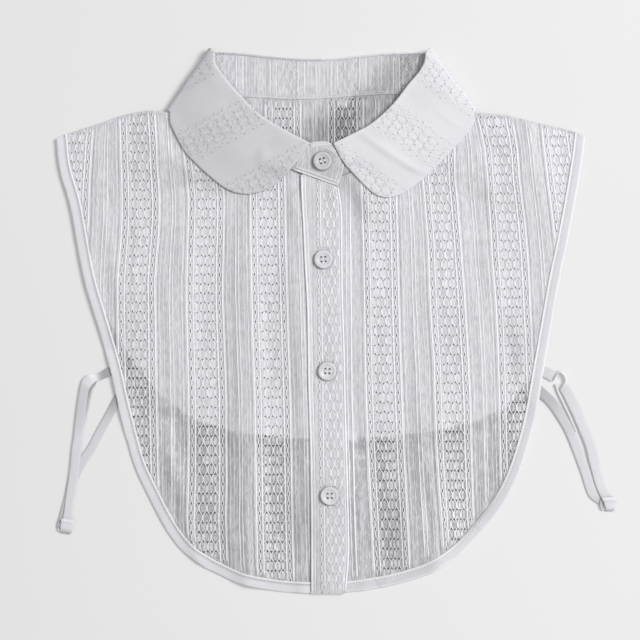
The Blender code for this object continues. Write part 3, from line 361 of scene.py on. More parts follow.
SIDE_BULGE = 5.0     # how far the fall's side bend reaches out past its axis
coarse = np.linspace(0, 1, 24)
back_fall_outline = np.vstack([
    fold_back(coarse),
    [fold_under(1.0) + (SIDE_BULGE, -1.0), outer_under(1.0) + (SIDE_BULGE, 0.0)],
    outer_back(1 - coarse),
    [outer_over(1.0) + (-SIDE_BULGE, 0.0), fold_over(1.0) + (-SIDE_BULGE, -1.0)]])
back_outline = np.vstack([
    back_edge(coarse), shoulder_under(1 - coarse), seam_back(1 - coarse), shoulder_over(coarse)])
strap_ends = [c(np.linspace(a, b, 6))[:, :2] for c in (strap_over, strap_under) for a, b in ((0.0, 0.03), (0.8, 1.0))]
placket_outline = np.vstack([
    placket_sewn(1 - coarse), seam_over(np.linspace(0.45, 0.0, 8)), placket_folded(coarse)])
tab_outline = np.vstack([
    Curve(TAB_END)(coarse[::2]), seam_over(np.linspace(0, 0.42, 8)), [(-19.0, 55.0), (-6.1, 58.3)]])
neck_line = np.vstack([seam_over(1 - coarse), seam_under(coarse)])


def back_level(p):
    """Underside of the back panel: it climbs over the back of the fall."""
    return COLLAR_LAYER * (1 - step((outside(p, back_fall_outline) - FALL_MARGIN) / FALL_RAMP))


def front_level(p):
    """Underside of the fronts: over the back panel and the straps' hidden ends, with the soft folds."""
    over_back = outside(p, back_outline)
    over_straps = np.min([along(p, run) for run in strap_ends], axis=0) - STRAP_WIDTH / 2
    under = np.minimum(over_back, np.maximum(over_straps, 0))
    level = back_level(p) + FRONT_LIFT * (1 - step((under - HEM_MARGIN) / HEM_RAMP))
    level = level + NECK_RAISE * np.exp(-(along(p, neck_line) / NECK_REACH) ** 2)
    return level + folds(p)


def folds(p):
    rise = np.zeros(p.shape[:-1])
    for top_x, top_d, foot_x, foot_d, height, half in FOLDS:
        share = np.clip((p[..., 1] - top_d) / (foot_d - top_d), 0, 1)
        middle = top_x + (foot_x - top_x) * share
        rise = rise + height * np.sin(math.pi * share) ** 0.7 * np.exp(-((p[..., 0] - middle) / half) ** 2)
    return rise


def placket_level(p):
    return front_level(p) + PLACKET_LIFT


def cover_level(p):
    """Top of what the collar's fall lies on: the fronts, and the placket and tab in the middle."""
    off = np.minimum(outside(p, placket_outline), outside(p, tab_outline))
    return front_level(p) + (PLACKET_LIFT + 0.2) * (1 - step((off - 1.0) / 8.0))


# ---------------------------------------------------------------- height fields, read fast
STEP = 1.0
GX, GD = np.arange(-178.0, 190.0, STEP), np.arange(-10.0, 345.0, STEP)


class Field:
    """A level function kept on a grid in the plan and read between its points."""

    def __init__(self, fn):
        pts = np.stack(np.meshgrid(GX, GD, indexing="ij"), -1)
        self.z = np.concatenate([fn(pts[i:i + 16]) for i in range(0, len(GX), 16)])

    def __call__(self, p):
        x = np.clip((p[..., 0] - GX[0]) / STEP, 0, len(GX) - 1.001)
        y = np.clip((p[..., 1] - GD[0]) / STEP, 0, len(GD) - 1.001)
        i, j = x.astype(int), y.astype(int)
        fx, fy = x - i, y - j
        z = self.z
        return (z[i, j] * (1 - fx) * (1 - fy) + z[i + 1, j] * fx * (1 - fy)
                + z[i, j + 1] * (1 - fx) * fy + z[i + 1, j + 1] * fx * fy)


def swells(p, table):
    """Soft runs on the plan, one for each row of a table: two ends and the middle in the drawing's units, then the
    height and the half width."""
    rise = np.zeros(p.shape[:-1])
    for x0, d0, x1, d1, x2, d2, height, half in table:
        a, b, c = ((np.array(q) - (320.5, 48.0)) * 0.61 for q in ((x0, d0), (x1, d1), (x2, d2)))
        u = np.linspace(0, 1, 25)[:, None]
        line = (1 - u) ** 2 * a + 2 * u * (1 - u) * b + u ** 2 * c
        q = p[..., :2].reshape(-1, 2)
        near = np.full(len(q), 1e9)
        share = np.zeros(len(q))
        for k in range(24):
            s, e = line[k], line[k + 1]
            t = np.clip(((q - s) @ (e - s)) / max((e - s) @ (e - s), 1e-9), 0, 1)
            d = np.linalg.norm(q - (s + t[:, None] * (e - s)), axis=1)
            better = d < near
            near[better] = d[better]
            share[better] = ((k + t) / 24)[better]
        swell = np.sin(math.pi * np.clip(share, 0.0, 1.0)) ** 0.6
        rise += (height * swell * np.exp(-(near / half) ** 2)).reshape(p.shape[:-1])
    return rise


def creases(p):
    """Soft ridges and troughs that the cloth has on top of its form."""
    return swells(p, CREASES)


def dims(p):
    """Painted shade (below 0) or painted light in the cloth's colour: hollows beside the falls and folds, and a painted
    shadow round the rims of the buttons.
    """
    out = dim_field(p)
    for _, x, y, _ in BUTTONS:
        d = np.hypot(p[..., 0] - x, p[..., 1] - y) - BUTTON_DIAMETER / 2
        # painted shadow in a ring round each button
        out = out - 0.30 * np.exp(-((d - 0.05) / 0.55) ** 2)
    return out


def collar_dims(p):
    """Painted shade on the fall on the left, which faces away from the light, with a painted highlight along its fold;
    a painted highlight along the fold of the fall on the right; and the painted shade and light of FALL_DIMS.
    """
    rim = np.exp(-(along(p, fold_over(np.linspace(0, 1, 40))) / 1.3) ** 2)
    far_rim = np.exp(-(along(p, fold_under(np.linspace(0, 1, 40))) / 1.1) ** 2)
    return np.where(p[..., 0] < 0, -0.17 + 0.12 * rim, 0.015 + 0.22 * far_rim) + swells(p, FALL_DIMS)


def signed(points, outline):
    """Distance of plan points from a closed outline, above 0 inside it."""
    shape = points.shape[:-1]
    flat = points[..., :2].reshape(-1, 2)
    out = np.empty(len(flat))
    for i in range(0, len(flat), 6000):
        p = flat[i:i + 6000]
        a = outline
        b = np.roll(outline, -1, axis=0)
        ab = b - a
        t = ((p[:, None] - a) * ab).sum(-1) / np.maximum((ab * ab).sum(-1), 1e-12)
        near = a + np.clip(t, 0, 1)[..., None] * ab
        d = np.linalg.norm(p[:, None] - near, axis=-1).min(axis=1)
        cross = (a[:, 1] > p[:, 1:2]) != (b[:, 1] > p[:, 1:2])
        with np.errstate(divide="ignore", invalid="ignore"):
            x = a[:, 0] + (p[:, 1:2] - a[:, 1]) * ab[:, 0] / ab[:, 1]
        inside = (np.where(cross, p[:, :1] < x, False).sum(axis=1) % 2).astype(bool)
        out[i:i + 6000] = np.where(inside, d, -d)
    return out.reshape(shape)


def noise1(x, seed):
    """Smooth wandering value of about -1 to 1 along one number."""
    x = np.asarray(x, float)
    out = np.zeros_like(x)
    for k, (f, a) in enumerate(((0.31, 0.5), (0.73, 0.3), (1.57, 0.2))):
        out += a * np.sin(f * x * 2.1 + seed * 1.7 + k * 2.3 + 0.9 * np.sin(0.37 * f * x + seed))
    return out


# ---------------------------------------------------------------- mesh making
def place(points):
    """Table millimetres (across, down, up) to the model's metres."""
    q = np.asarray(points, float)
    out = np.empty_like(q)
    out[..., 0] = q[..., 0] - MIDDLE_ACROSS
    out[..., 1] = MIDDLE_DOWN - q[..., 1]
    out[..., 2] = q[..., 2]
    return out * 0.001


def make(name, verts, faces, mat, cloth=None, sharp=50):
    """faces is a list of index arrays, each with faces of one size.  verts are in table millimetres."""
    mesh = bpy.data.meshes.new(name)
    table_verts = np.asarray(verts, float)
    verts = place(verts)
    mesh.vertices.add(len(verts))
    mesh.vertices.foreach_set("co", verts.astype(np.float32).ravel())
    faces = [np.asarray(f, int) for f in faces if len(f)]
    loops = np.concatenate([f[:, ::-1].ravel() for f in faces])
    sizes = np.concatenate([np.full(len(f), f.shape[1]) for f in faces])
    mesh.loops.add(len(loops))
    mesh.loops.foreach_set("vertex_index", loops.astype(np.int32))
    mesh.polygons.add(len(sizes))
    mesh.polygons.foreach_set("loop_start", np.concatenate([[0], np.cumsum(sizes)[:-1]]).astype(np.int32))
    mesh.polygons.foreach_set("loop_total", sizes.astype(np.int32))
    mesh.update(calc_edges=True)
    mesh.validate()
    mesh.materials.append(mat)
    # painted shade and light go into a 'dim' attribute that the materials multiply into the colour
    if name.startswith(DIMMED):
        soft = collar_dims(table_verts) if name.startswith("collar_fall") else dims(table_verts)
        # painted shade on the front of the stand, the tab, which lies in its neighbours' shade
        if name == "collar_stand_cloth":
            soft = soft - 0.09 * (table_verts[..., 1] > 45.0)
        at = mesh.attributes.new("dim", "FLOAT", "POINT")
        at.data.foreach_set("value", soft.astype(np.float32).ravel())
    if cloth is not None:
        at = mesh.attributes.new("cloth", "FLOAT_VECTOR", "POINT")
        at.data.foreach_set("vector", np.asarray(cloth, np.float32).ravel())
    mesh.shade_smooth()
    if sharp:
        mesh.set_sharp_from_angle(angle=math.radians(sharp))
    obj = bpy.data.objects.new(name, mesh)
    bpy.context.scene.collection.objects.link(obj)
    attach(obj, "root")
    return obj


class Bag:
    """Collects the vertices and faces of many small closed pieces for one joined mesh."""

    def __init__(self):
        self.v, self.q, self.t, self.c, self.n = [], [], [], [], 0

    def add(self, verts, quads=(), tris=(), cloth=None):
        verts = np.asarray(verts, float).reshape(-1, 3)
        if len(quads):
            self.q.append(np.asarray(quads, int).reshape(-1, 4) + self.n)
        if len(tris):
            self.t.append(np.asarray(tris, int).reshape(-1, 3) + self.n)
        self.v.append(verts)
        self.c.append(np.zeros((len(verts), 3)) if cloth is None else np.broadcast_to(cloth, (len(verts), 3)))
        self.n += len(verts)

    def make(self, name, mat, sharp=None):
        faces = []
        if self.q:
            faces.append(np.concatenate(self.q))
        if self.t:
            faces.append(np.concatenate(self.t))
        return make(name, np.concatenate(self.v), faces, mat, np.concatenate(self.c), sharp)


def tube(bag, line, radius, sides=5, flat=1.0, cloth=None):
    """A closed tube along a line of points (across, down, up); radius may be one per point."""
    line = np.asarray(line, float)
    n = len(line)
    if n < 2:
        return
    d = np.gradient(line, axis=0)
    d /= np.maximum(np.linalg.norm(d, axis=1), 1e-9)[:, None]
    side = np.stack([d[:, 1], -d[:, 0], np.zeros(n)], axis=1)
    side /= np.maximum(np.linalg.norm(side, axis=1), 1e-9)[:, None]
    up = np.cross(side, d)
    up *= np.where(up[:, 2:3] < 0, -1, 1)
    r = np.broadcast_to(np.asarray(radius, float), (n,))[:, None]
    rings = []
    for k in range(sides):
        a = 2 * math.pi * (k + 0.5) / sides
        rings.append(line + side * r * math.cos(a) + up * r * flat * math.sin(a))
    verts = np.stack(rings, axis=1).reshape(-1, 3)
    i = np.arange(n - 1)[:, None] * sides
    k = np.arange(sides)[None]
    k2 = (k + 1) % sides
    quads = np.stack([i + k, i + sides + k, i + sides + k2, i + k2], axis=-1).reshape(-1, 4)
    caps = []
    for j in range(1, sides - 1):
        caps.append((0, j, j + 1))
        caps.append(((n - 1) * sides, (n - 1) * sides + j + 1, (n - 1) * sides + j))
    bag.add(verts, quads, caps, None if cloth is None else np.repeat(np.asarray(cloth, float), sides, axis=0))


def runs(ok, least=3):
    """Start and stop of each run of True."""
    out, start = [], None
    for i, good in enumerate(list(ok) + [False]):
        if good and start is None:
            start = i
        if not good and start is not None:
            if i - start >= least:
                out.append((start, i))
            start = None
    return out


def clipped_shell(name, P, sd, holes, low, thick, mat, cloth, trim=0.35):
    """A closed thin shell over a plan grid: whole cells inside, cut along sd = 0 at the outline, open at the holes."""
    n, m = sd.shape
    sd = np.where(np.abs(sd) < trim * 0.25, trim * 0.25 * np.where(sd < 0, -1, 1), sd)
    idx = np.arange(n * m).reshape(n, m)
    inside = sd > 0
    quad = np.stack([idx[:-1, :-1], idx[1:, :-1], idx[1:, 1:], idx[:-1, 1:]], axis=-1)
    count = (inside[:-1, :-1].astype(int) + inside[1:, :-1] + inside[1:, 1:] + inside[:-1, 1:])
    keep = ~holes
    full = quad[(count == 4) & keep]
    part = quad[(count > 0) & (count < 4) & keep]
    pts = [P.reshape(-1, 2)]
    cl = [cloth.reshape(-1, 3)]
    flat_sd = sd.ravel()
    extra, extra_c, made = [], [], {}
    base = n * m
    polys = {3: [], 4: [], 5: []}
    fp, fc = P.reshape(-1, 2), cloth.reshape(-1, 3)
    for q in part:
        out = []
        for a, b in zip(q, np.roll(q, -1)):
            if flat_sd[a] > 0:
                out.append(int(a))
            if (flat_sd[a] > 0) != (flat_sd[b] > 0):
                key = (min(a, b), max(a, b))
                if key not in made:
                    t = flat_sd[a] / (flat_sd[a] - flat_sd[b])
                    made[key] = base + len(extra)
                    extra.append(fp[a] + t * (fp[b] - fp[a]))
                    extra_c.append(fc[a] + t * (fc[b] - fc[a]))
                out.append(made[key])
        if len(out) in polys:
            polys[len(out)].append(out)
    if extra:
        pts.append(np.array(extra))
        cl.append(np.array(extra_c))
    pts, cl = np.concatenate(pts), np.concatenate(cl)
    faces = [np.vstack([full.reshape(-1, 4), np.array(polys[4], int).reshape(-1, 4)])]
    for k in (3, 5):
        if polys[k]:
            faces.append(np.array(polys[k], int))
    used = np.unique(np.concatenate([f.ravel() for f in faces]))
    remap = np.full(len(pts), -1)
    remap[used] = np.arange(len(used))
    faces = [remap[f] for f in faces]
    pts, cl = pts[used], cl[used]
    z = low(pts)
    nv = len(pts)
    under = np.column_stack([pts, z])
    over = np.column_stack([pts, z + thick])
    edges = np.concatenate([np.stack([f, np.roll(f, -1, axis=1)], axis=-1).reshape(-1, 2) for f in faces])
    code = edges[:, 0] * (nv + 1) + edges[:, 1]
    back = edges[:, 1] * (nv + 1) + edges[:, 0]
    rim = edges[~np.isin(code, back)]
    walls = np.stack([rim[:, 0], rim[:, 1], rim[:, 1] + nv, rim[:, 0] + nv], axis=-1)
    allf = []
    for f in faces:
        allf.append(f + nv)
        allf.append(f[:, ::-1])
    allf.append(walls)
    c2 = np.concatenate([cl, cl])
    return make(name, np.concatenate([under, over]), allf, mat, c2, 40)


# ---------------------------------------------------------------- the cloth's own pattern (mm)
PITCH = 40.6           # one openwork column and one plain strip
ROW = 5.83             # height of one row of ovals
OVAL = 2.38            # half the distance between ovals
RIDGE_AT = 7.23        # ridges that bound the net
CHAIN_AT = 9.2         # chains outside them
CORD_AT = 11.22        # and the cords outside those
PAIR_AT = (19.4, 21.3)  # pair of cords in the middle of the plain strip
LACE_LINES = (-12.2, -10.7, -9.62, -8.78, -7.9, -6.45, -5.24, -4.28, -2.86, -1.90, -0.48,
              0.48, 1.90, 2.86, 4.28, 5.24, 6.45, 7.9, 8.78, 9.62, 10.7, 12.2)


class Warp:
    """Where the cloth's columns run on one panel: rows of (down, then across of the two outer cords of each column)."""

    def __init__(self, columns, first=0):
        self.first = first
        self.tracks = []
        for rows in columns:
            r = np.array(rows, float)
            self.tracks.append((r[:, 0], r[:, 1], r[:, 2]))

    def cords(self, k, down):
        d, a, b = self.tracks[k]
        return np.interp(down, d, a), np.interp(down, d, b)

    def __call__(self, s, down):
        """Across for a place s along the cloth (0 at the middle of the first column) and down."""
        s, down = np.broadcast_arrays(np.asarray(s, float), np.asarray(down, float))
        knots_s, knots_x = [], []
        for k in range(len(self.tracks)):
            a, b = self.cords(k, down)
            knots_s += [k * PITCH - CORD_AT, k * PITCH + CORD_AT]
            knots_x += [a, b]
        out = np.empty(s.shape)
        n = len(knots_s)
        xs = np.stack(knots_x, 0)
        i = np.clip(np.searchsorted(knots_s, s) - 1, 0, n - 2)
        ks = np.array(knots_s)
        x0 = np.take_along_axis(xs, i[None], 0)[0]
        x1 = np.take_along_axis(xs, i[None] + 1, 0)[0]
        share = (s - ks[i]) / (ks[i + 1] - ks[i])
        out = x0 + share * (x1 - x0)
        low, high = s < ks[0], s > ks[-1]
        out = np.where(low, xs[0] + (s - ks[0]), out)
        out = np.where(high, xs[-1] + (s - ks[-1]), out)
        return out


def mm(rows):
    """Rows measured in a drawing's units of 0.61 mm, from the middle of the neck and the collar's top, to millimetres."""
    return [tuple([(r[0] - 48) * 0.61] + [(x - 320.5) * 0.61 for x in r[1:]]) for r in rows]


def lace_lines(k0, k1, left, right):
    """Grid lines across the cloth from column k0 to k1, with plain cloth beyond them as far as left and right."""
    lines = []
    for k in range(k0, k1 + 1):
        lines += [k * PITCH + x for x in LACE_LINES]
        if k < k1:
            lines += list(k * PITCH + np.linspace(12.2, PITCH - 12.2, 9)[1:-1])
    lines = list(np.arange(lines[0] - left, lines[0] - 0.8, 2.0)) + lines + list(np.arange(lines[-1] + 2.0, lines[-1] + right, 2.0))
    return np.array(lines)


def row_lines(first, last, phase):
    """Grid lines down the cloth: the dot rows are at phase + n * ROW, each with a line on both sides of it."""
    n0, n1 = int(math.floor((first - phase) / ROW)), int(math.ceil((last - phase) / ROW))
    lines = []
    for n in range(n0, n1 + 1):
        t = phase + n * ROW
        lines += [t - 0.46, t + 0.46, t + 2.15, t + 3.7]
    return np.array(lines), n0


def lace_holes(lines, rows, k_list):
    """Which cells are open: the ones in a dot row that hold the tip of an oval or a dot of the chain."""
    mid_s = (lines[1:] + lines[:-1]) / 2
    width = np.diff(lines)
    open_s = np.zeros(len(mid_s), bool)
    for k in k_list:
        local = mid_s - k * PITCH
        for j in range(-2, 3):
            open_s |= (np.abs(local - j * OVAL) < 0.3) & (width < 1.2)
        for side in (-1, 1):
            open_s |= (np.abs(local - side * CHAIN_AT) < 0.25) & (width < 1.2)
    open_t = (np.arange(len(rows) - 1) % 4) == 0
    return open_s[:, None] & open_t[None]


def shape_tips(S, T, lines, rows, n0, parity, size):
    """Moves the corners of each hole: tips of the ovals that start at a row are above it and the ones that end there
    below it, each narrow at its tip.  size is the holes' size at each grid point."""
    S, T = S.copy(), T.copy()
    for j in range(0, len(rows) - 1, 4):
        n = n0 + j // 4
        mid_t = (rows[j] + rows[j + 1]) / 2
        for i in range(len(lines) - 1):
            if lines[i + 1] - lines[i] > 1.2:
                continue
            local = (lines[i] + lines[i + 1]) / 2
            local = (local + PITCH / 2) % PITCH - PITCH / 2
            q = round(local / OVAL)
            on_net = abs(local - q * OVAL) < 0.3 and abs(q) <= 2
            on_chain = abs(abs(local) - CHAIN_AT) < 0.25
            if not (on_net or on_chain):
                continue
            mid_s = (lines[i] + lines[i + 1]) / 2
            e = size[i, j]
            if on_chain:
                half_w, half_h, shift = 0.25 * e, 0.42 * e, 0.0
                tip = half_w
                top_tip = True
            else:
                half_w, half_h = 0.46 * e, 0.46 * e
                tip = 0.10 * e
                top_tip = (q + n + parity) % 2 == 0
                shift = -0.34 if top_tip else 0.34
            up_w, down_w = (tip, half_w) if top_tip else (half_w, tip)
            S[i, j], S[i + 1, j] = mid_s - up_w, mid_s + up_w
            S[i, j + 1], S[i + 1, j + 1] = mid_s - down_w, mid_s + down_w
            T[i, j] = T[i + 1, j] = mid_t + shift - half_h
            T[i, j + 1] = T[i + 1, j + 1] = mid_t + shift + half_h
    return S, T


def lattice(bag, to_plan, height, keep, k_list, t0, t1, phase, parity, size=1.0, lift=0.10, cords=True, chains=True, net=True,
            ridges=True, sides=5, pair=True, tone=None):
    """The raised threads of the cloth: the net round the ovals, its ridges, the chains and the cords.

    to_plan(s, t) gives plan points, height(points) the surface they lie on, and keep(points) where they show."""
    n0, n1 = int(math.floor((t0 - phase) / ROW)), int(math.ceil((t1 - phase) / ROW))
    base = height

    def lay(s, t, r, wide=1.0, sides=sides, flat=0.7, rise=0.0, shade_of=1.0):
        p = to_plan(s, t)
        ok = keep(p)
        for a, b in runs(ok, 3):
            q = p[a:b]
            z = base(q) + lift * size + (rise[a:b] if isinstance(rise, np.ndarray) else rise) * size
            rr = np.broadcast_to(r, s.shape)[a:b] * size
            local = (s[a:b] + PITCH / 2) % PITCH - PITCH / 2
            deep = tone(q) if tone is not None else np.full(b - a, 1.0)
            own = shade_of[a:b] if isinstance(shade_of, np.ndarray) else shade_of
            tube(bag, np.column_stack([q, z]), rr * wide, sides, flat, np.column_stack([local, t[a:b], deep * own]))

    for k in k_list:
        at = k * PITCH
        if net:
            for odd, even in ((-3, -2), (-1, -2), (-1, 0), (1, 0), (1, 2), (3, 2)):
                s, t, r, up = [], [], [], []
                for n in range(n0, n1 + 1):
                    here, there = (odd, even) if (n + parity) % 2 == 0 else (even, odd)
                    lean = 0.29 * np.sign(there - here) * (0.35 if abs(here) == 3 else 1.0)
                    lean0 = 0.29 * np.sign(here - there) * (0.35 if abs(there) == 3 else 1.0)
                    y = phase + n * ROW
                    wob = 0.07 * noise1(n * 0.9 + here, k + 5.0)
                    x0, x1 = there * OVAL + lean0, here * OVAL + lean + wob
                    s += [x0 + (x1 - x0) * 0.10, (x0 + x1) / 2, x0 + (x1 - x0) * 0.90, x1, x1 + 0.02, x1]
                    t += [y - 0.95, y, y + 0.95, y + 1.75, y + ROW / 2, y + ROW - 1.75]
                    r += [0.30, 0.29, 0.30, 0.31, 0.30, 0.31]
                    up += [0.14, 0.20, 0.14, 0.0, 0.0, 0.0]
                lay(np.array(s) + at, np.array(t), np.array(r), rise=np.array(up),
                    shade_of=1.0 + 0.05 * noise1(np.array(t) * 0.21, k * 3.0 + odd))
        t = np.arange(phase + n0 * ROW, phase + (n1 + 1) * ROW, ROW / 2)
        for side in (-1, 1):
            if ridges:
                lay(at + side * RIDGE_AT + 0.10 * noise1(t * 0.3, k + side), t, 0.54 + 0.07 * noise1(t, 3 + k), flat=0.55)
            if cords:
                lay(at + side * CORD_AT + 0.08 * noise1(t * 0.3, k + 2 * side), t, 0.58 + 0.08 * noise1(t, 7 + k), flat=0.5)
                lay(at + side * (CORD_AT + 0.78) + 0.08 * noise1(t * 0.3, k + 2 * side), t, 0.24, flat=0.6, sides=4, rise=-0.08)
            if chains:
                tt = np.arange(phase + n0 * ROW, phase + (n1 + 1) * ROW, ROW / 6)
                turn = math.pi * (tt - phase) / ROW
                for leg in (-1, 1):
                    spread = 0.17 + 0.50 * np.abs(np.cos(turn)) ** 3 + 0.06 * noise1(tt * 0.9, k + 3 * leg + side)
                    lay(leg * spread + at + side * CHAIN_AT + 0.09 * noise1(tt * 0.35, k + side), tt,
                        0.27 + 0.05 * noise1(tt * 1.3, k + side + leg), sides=4, flat=0.8,
                        shade_of=1.0 + 0.05 * noise1(tt * 0.8, k + leg))
        if pair:
            for x, r in zip(PAIR_AT, (0.42, 0.36)):
                lay(at + x + 0.12 * noise1(t * 0.2, k + x), t, r + 0.10 * noise1(t * 0.5, k + x), flat=0.42, rise=-0.06,
                    shade_of=0.95 + 0.05 * noise1(t * 0.12, k + 2 * x))
            for x, r in ((13.9, 0.22), (16.2, 0.18), (24.6, 0.2), (26.6, 0.24)):
                lay(at + x + 0.2 * noise1(t * 0.15, k + x), t, r + 0.06 * noise1(t * 0.4, x), flat=0.5, sides=4, rise=-0.06)


# ---------------------------------------------------------------- where the columns run
WARP_OVER = Warp([
    mm([(110, 67, 95.5), (120, 65, 94.5), (140, 61, 92), (180, 57.5, 89.5), (220, 54, 88.5), (260, 50.5, 86.5)]),
    mm([(110, 119.5, 154.5), (140, 120.7, 156.3), (160, 121.3, 157), (180, 121.8, 158.3), (200, 122.3, 159.3), (220, 122.2, 159.2),
        (240, 121, 158), (260, 119.5, 156.2), (280, 118, 154.8), (300, 117.8, 155), (340, 118.5, 155.6), (380, 119, 156),
        (420, 119.5, 156.7), (460, 120, 157.5), (500, 121, 158.5)]),
    mm([(110, 181, 217), (160, 184.5, 220.5), (180, 187.3, 222.5), (200, 189, 224), (240, 188, 223.5), (280, 187, 222.5),
        (300, 186.8, 222.5), (340, 187.5, 224), (400, 189, 226), (440, 189, 226), (480, 188.5, 226.3), (520, 187.5, 225.5),
        (560, 189.5, 227), (595, 190.5, 228)]),
    mm([(110, 248, 283), (200, 250.5, 284.8), (240, 250.8, 285.2), (300, 252, 286.8), (340, 253, 288), (400, 255, 290),
        (440, 255.5, 290.8), (480, 256, 291.3), (520, 256.5, 292), (560, 257.5, 293), (595, 258.5, 294)]),
])
WARP_UNDER = Warp([
    mm([(100, 360, 394.5), (200, 361.5, 396), (240, 363, 397), (300, 364.2, 398.2), (360, 365, 400), (400, 366, 401.5),
        (440, 367.5, 403), (480, 369.5, 405), (520, 371.5, 407), (560, 373.5, 409), (595, 375, 411)]),
    mm([(100, 420, 452), (180, 422.5, 454.5), (200, 424.5, 456.5), (220, 426, 458), (240, 427.5, 459.7), (260, 428.2, 461),
        (300, 429.5, 464), (340, 432, 466.5), (360, 433.5, 467.5), (400, 434.5, 469.5), (440, 436, 470.5), (480, 438.5, 471.8),
        (520, 441.5, 473), (560, 444, 476)]),
    mm([(100, 474, 508), (118, 477, 511), (135, 481, 514), (150, 484.5, 516.5), (180, 487, 518.5), (200, 488, 521), (220, 489.7, 523.7),
        (260, 491.8, 527.2), (300, 495, 529), (340, 497, 531), (380, 498.3, 532.5), (420, 499.5, 534), (460, 500.5, 535.5),
        (520, 502, 537)]),
    mm([(100, 540, 569), (125, 541, 570), (140, 542.5, 572), (180, 547, 578), (200, 549.5, 582), (220, 552, 586), (300, 560, 595)]),
])
WARP_PLACKET = Warp([
    mm([(170, 314.3, 345), (200, 314.6, 345.6), (250, 315.2, 346.8), (300, 315.8, 348), (350, 316.2, 349), (400, 316.8, 350),
        (450, 317.4, 351), (500, 317.8, 352), (550, 318.4, 353), (600, 318.8, 354)]),
])
PHASE_PLACKET = (229.0 - 48) * 0.61
# Bands of the same cloth on the two falls: the direction that the columns run in and the normal to it.
BAND_OVER = dict(run=(0.883, -0.469), off=(152.0, 218.6, 285.2))
BAND_UNDER = dict(run=(0.816, 0.578), off=(-190.1, -127.1, -64.1))


# ---------------------------------------------------------------- materials
class Nodes:
    """Short names for the shader nodes that the cloths use."""

    def __init__(self, name):
        self.mat = bpy.data.materials.new(name)
        self.mat.use_nodes = True
        self.t = self.mat.node_tree
        self.bsdf = self.t.nodes["Principled BSDF"]

    def link(self, a, b):
        self.t.links.new(a, b)

    def put(self, socket, value):
        if isinstance(value, bpy.types.NodeSocket):
            self.link(value, socket)
        else:
            socket.default_value = value

    def node(self, kind, **props):
        n = self.t.nodes.new("ShaderNode" + kind)
        for k, v in props.items():
            setattr(n, k, v)
        return n

    def m(self, op, a, b=0.0, c=0.0):
        n = self.node("Math", operation=op)
        self.put(n.inputs[0], a)
        self.put(n.inputs[1], b)
        if op in ("MULTIPLY_ADD", "SMOOTH_MIN", "SMOOTH_MAX", "COMPARE", "WRAP"):
            self.put(n.inputs[2], c)
        return n.outputs[0]

    def ramp(self, value, low, high, a=0.0, b=1.0, smooth=True):
        n = self.node("MapRange", interpolation_type="SMOOTHSTEP" if smooth else "LINEAR", clamp=True) if smooth else \
            self.node("MapRange", interpolation_type="LINEAR")
        self.put(n.inputs[0], value)
        for i, v in enumerate((low, high, a, b)):
            self.put(n.inputs[i + 1], v)
        return n.outputs[0]

    def noise(self, vector, scale, detail=2.0, rough=0.5):
        n = self.node("TexNoise")
        n.noise_dimensions = "3D"
        self.put(n.inputs["Vector"], vector)
        n.inputs["Scale"].default_value = scale
        n.inputs["Detail"].default_value = detail
        n.inputs["Roughness"].default_value = rough
        return n.outputs["Fac"]

    def vec(self, x, y, z=0.0):
        n = self.node("CombineXYZ")
        for i, v in enumerate((x, y, z)):
            self.put(n.inputs[i], v)
        return n.outputs[0]

    def mix(self, fac, a, b, blend="MIX"):
        n = self.node("Mix", data_type="RGBA", blend_type=blend)
        self.put(n.inputs[0], fac)
        self.put(n.inputs[6], a)
        self.put(n.inputs[7], b)
        return n.outputs[2]

    def cloth(self):
        """The cloth's own coordinates in millimetres: place across the column, place down, and a tone."""
        a = self.node("Attribute", attribute_name="cloth", attribute_type="GEOMETRY")
        s = self.node("SeparateXYZ")
        self.link(a.outputs["Vector"], s.inputs[0])
        return s.outputs[0], s.outputs[1], s.outputs[2]

    def bump(self, height, distance, strength=1.0, normal=None):
        n = self.node("Bump")
        n.inputs["Strength"].default_value = strength
        n.inputs["Distance"].default_value = distance
        self.link(height, n.inputs["Height"])
        if normal is not None:
            self.link(normal, n.inputs["Normal"])
        return n.outputs["Normal"]


def dimmed(g, value):
    """The tone of a piece with its painted shade or painted light from the 'dim' attribute, which is 0 where there is
    none.
    """
    a = g.node("Attribute", attribute_name="dim", attribute_type="GEOMETRY")
    return g.m("MULTIPLY", value, g.m("ADD", a.outputs["Fac"], 1.0))


def shade(value, tint=(0.974, 0.966, 1.012)):
    return (value * tint[0], value * tint[1], value * tint[2], 1.0)


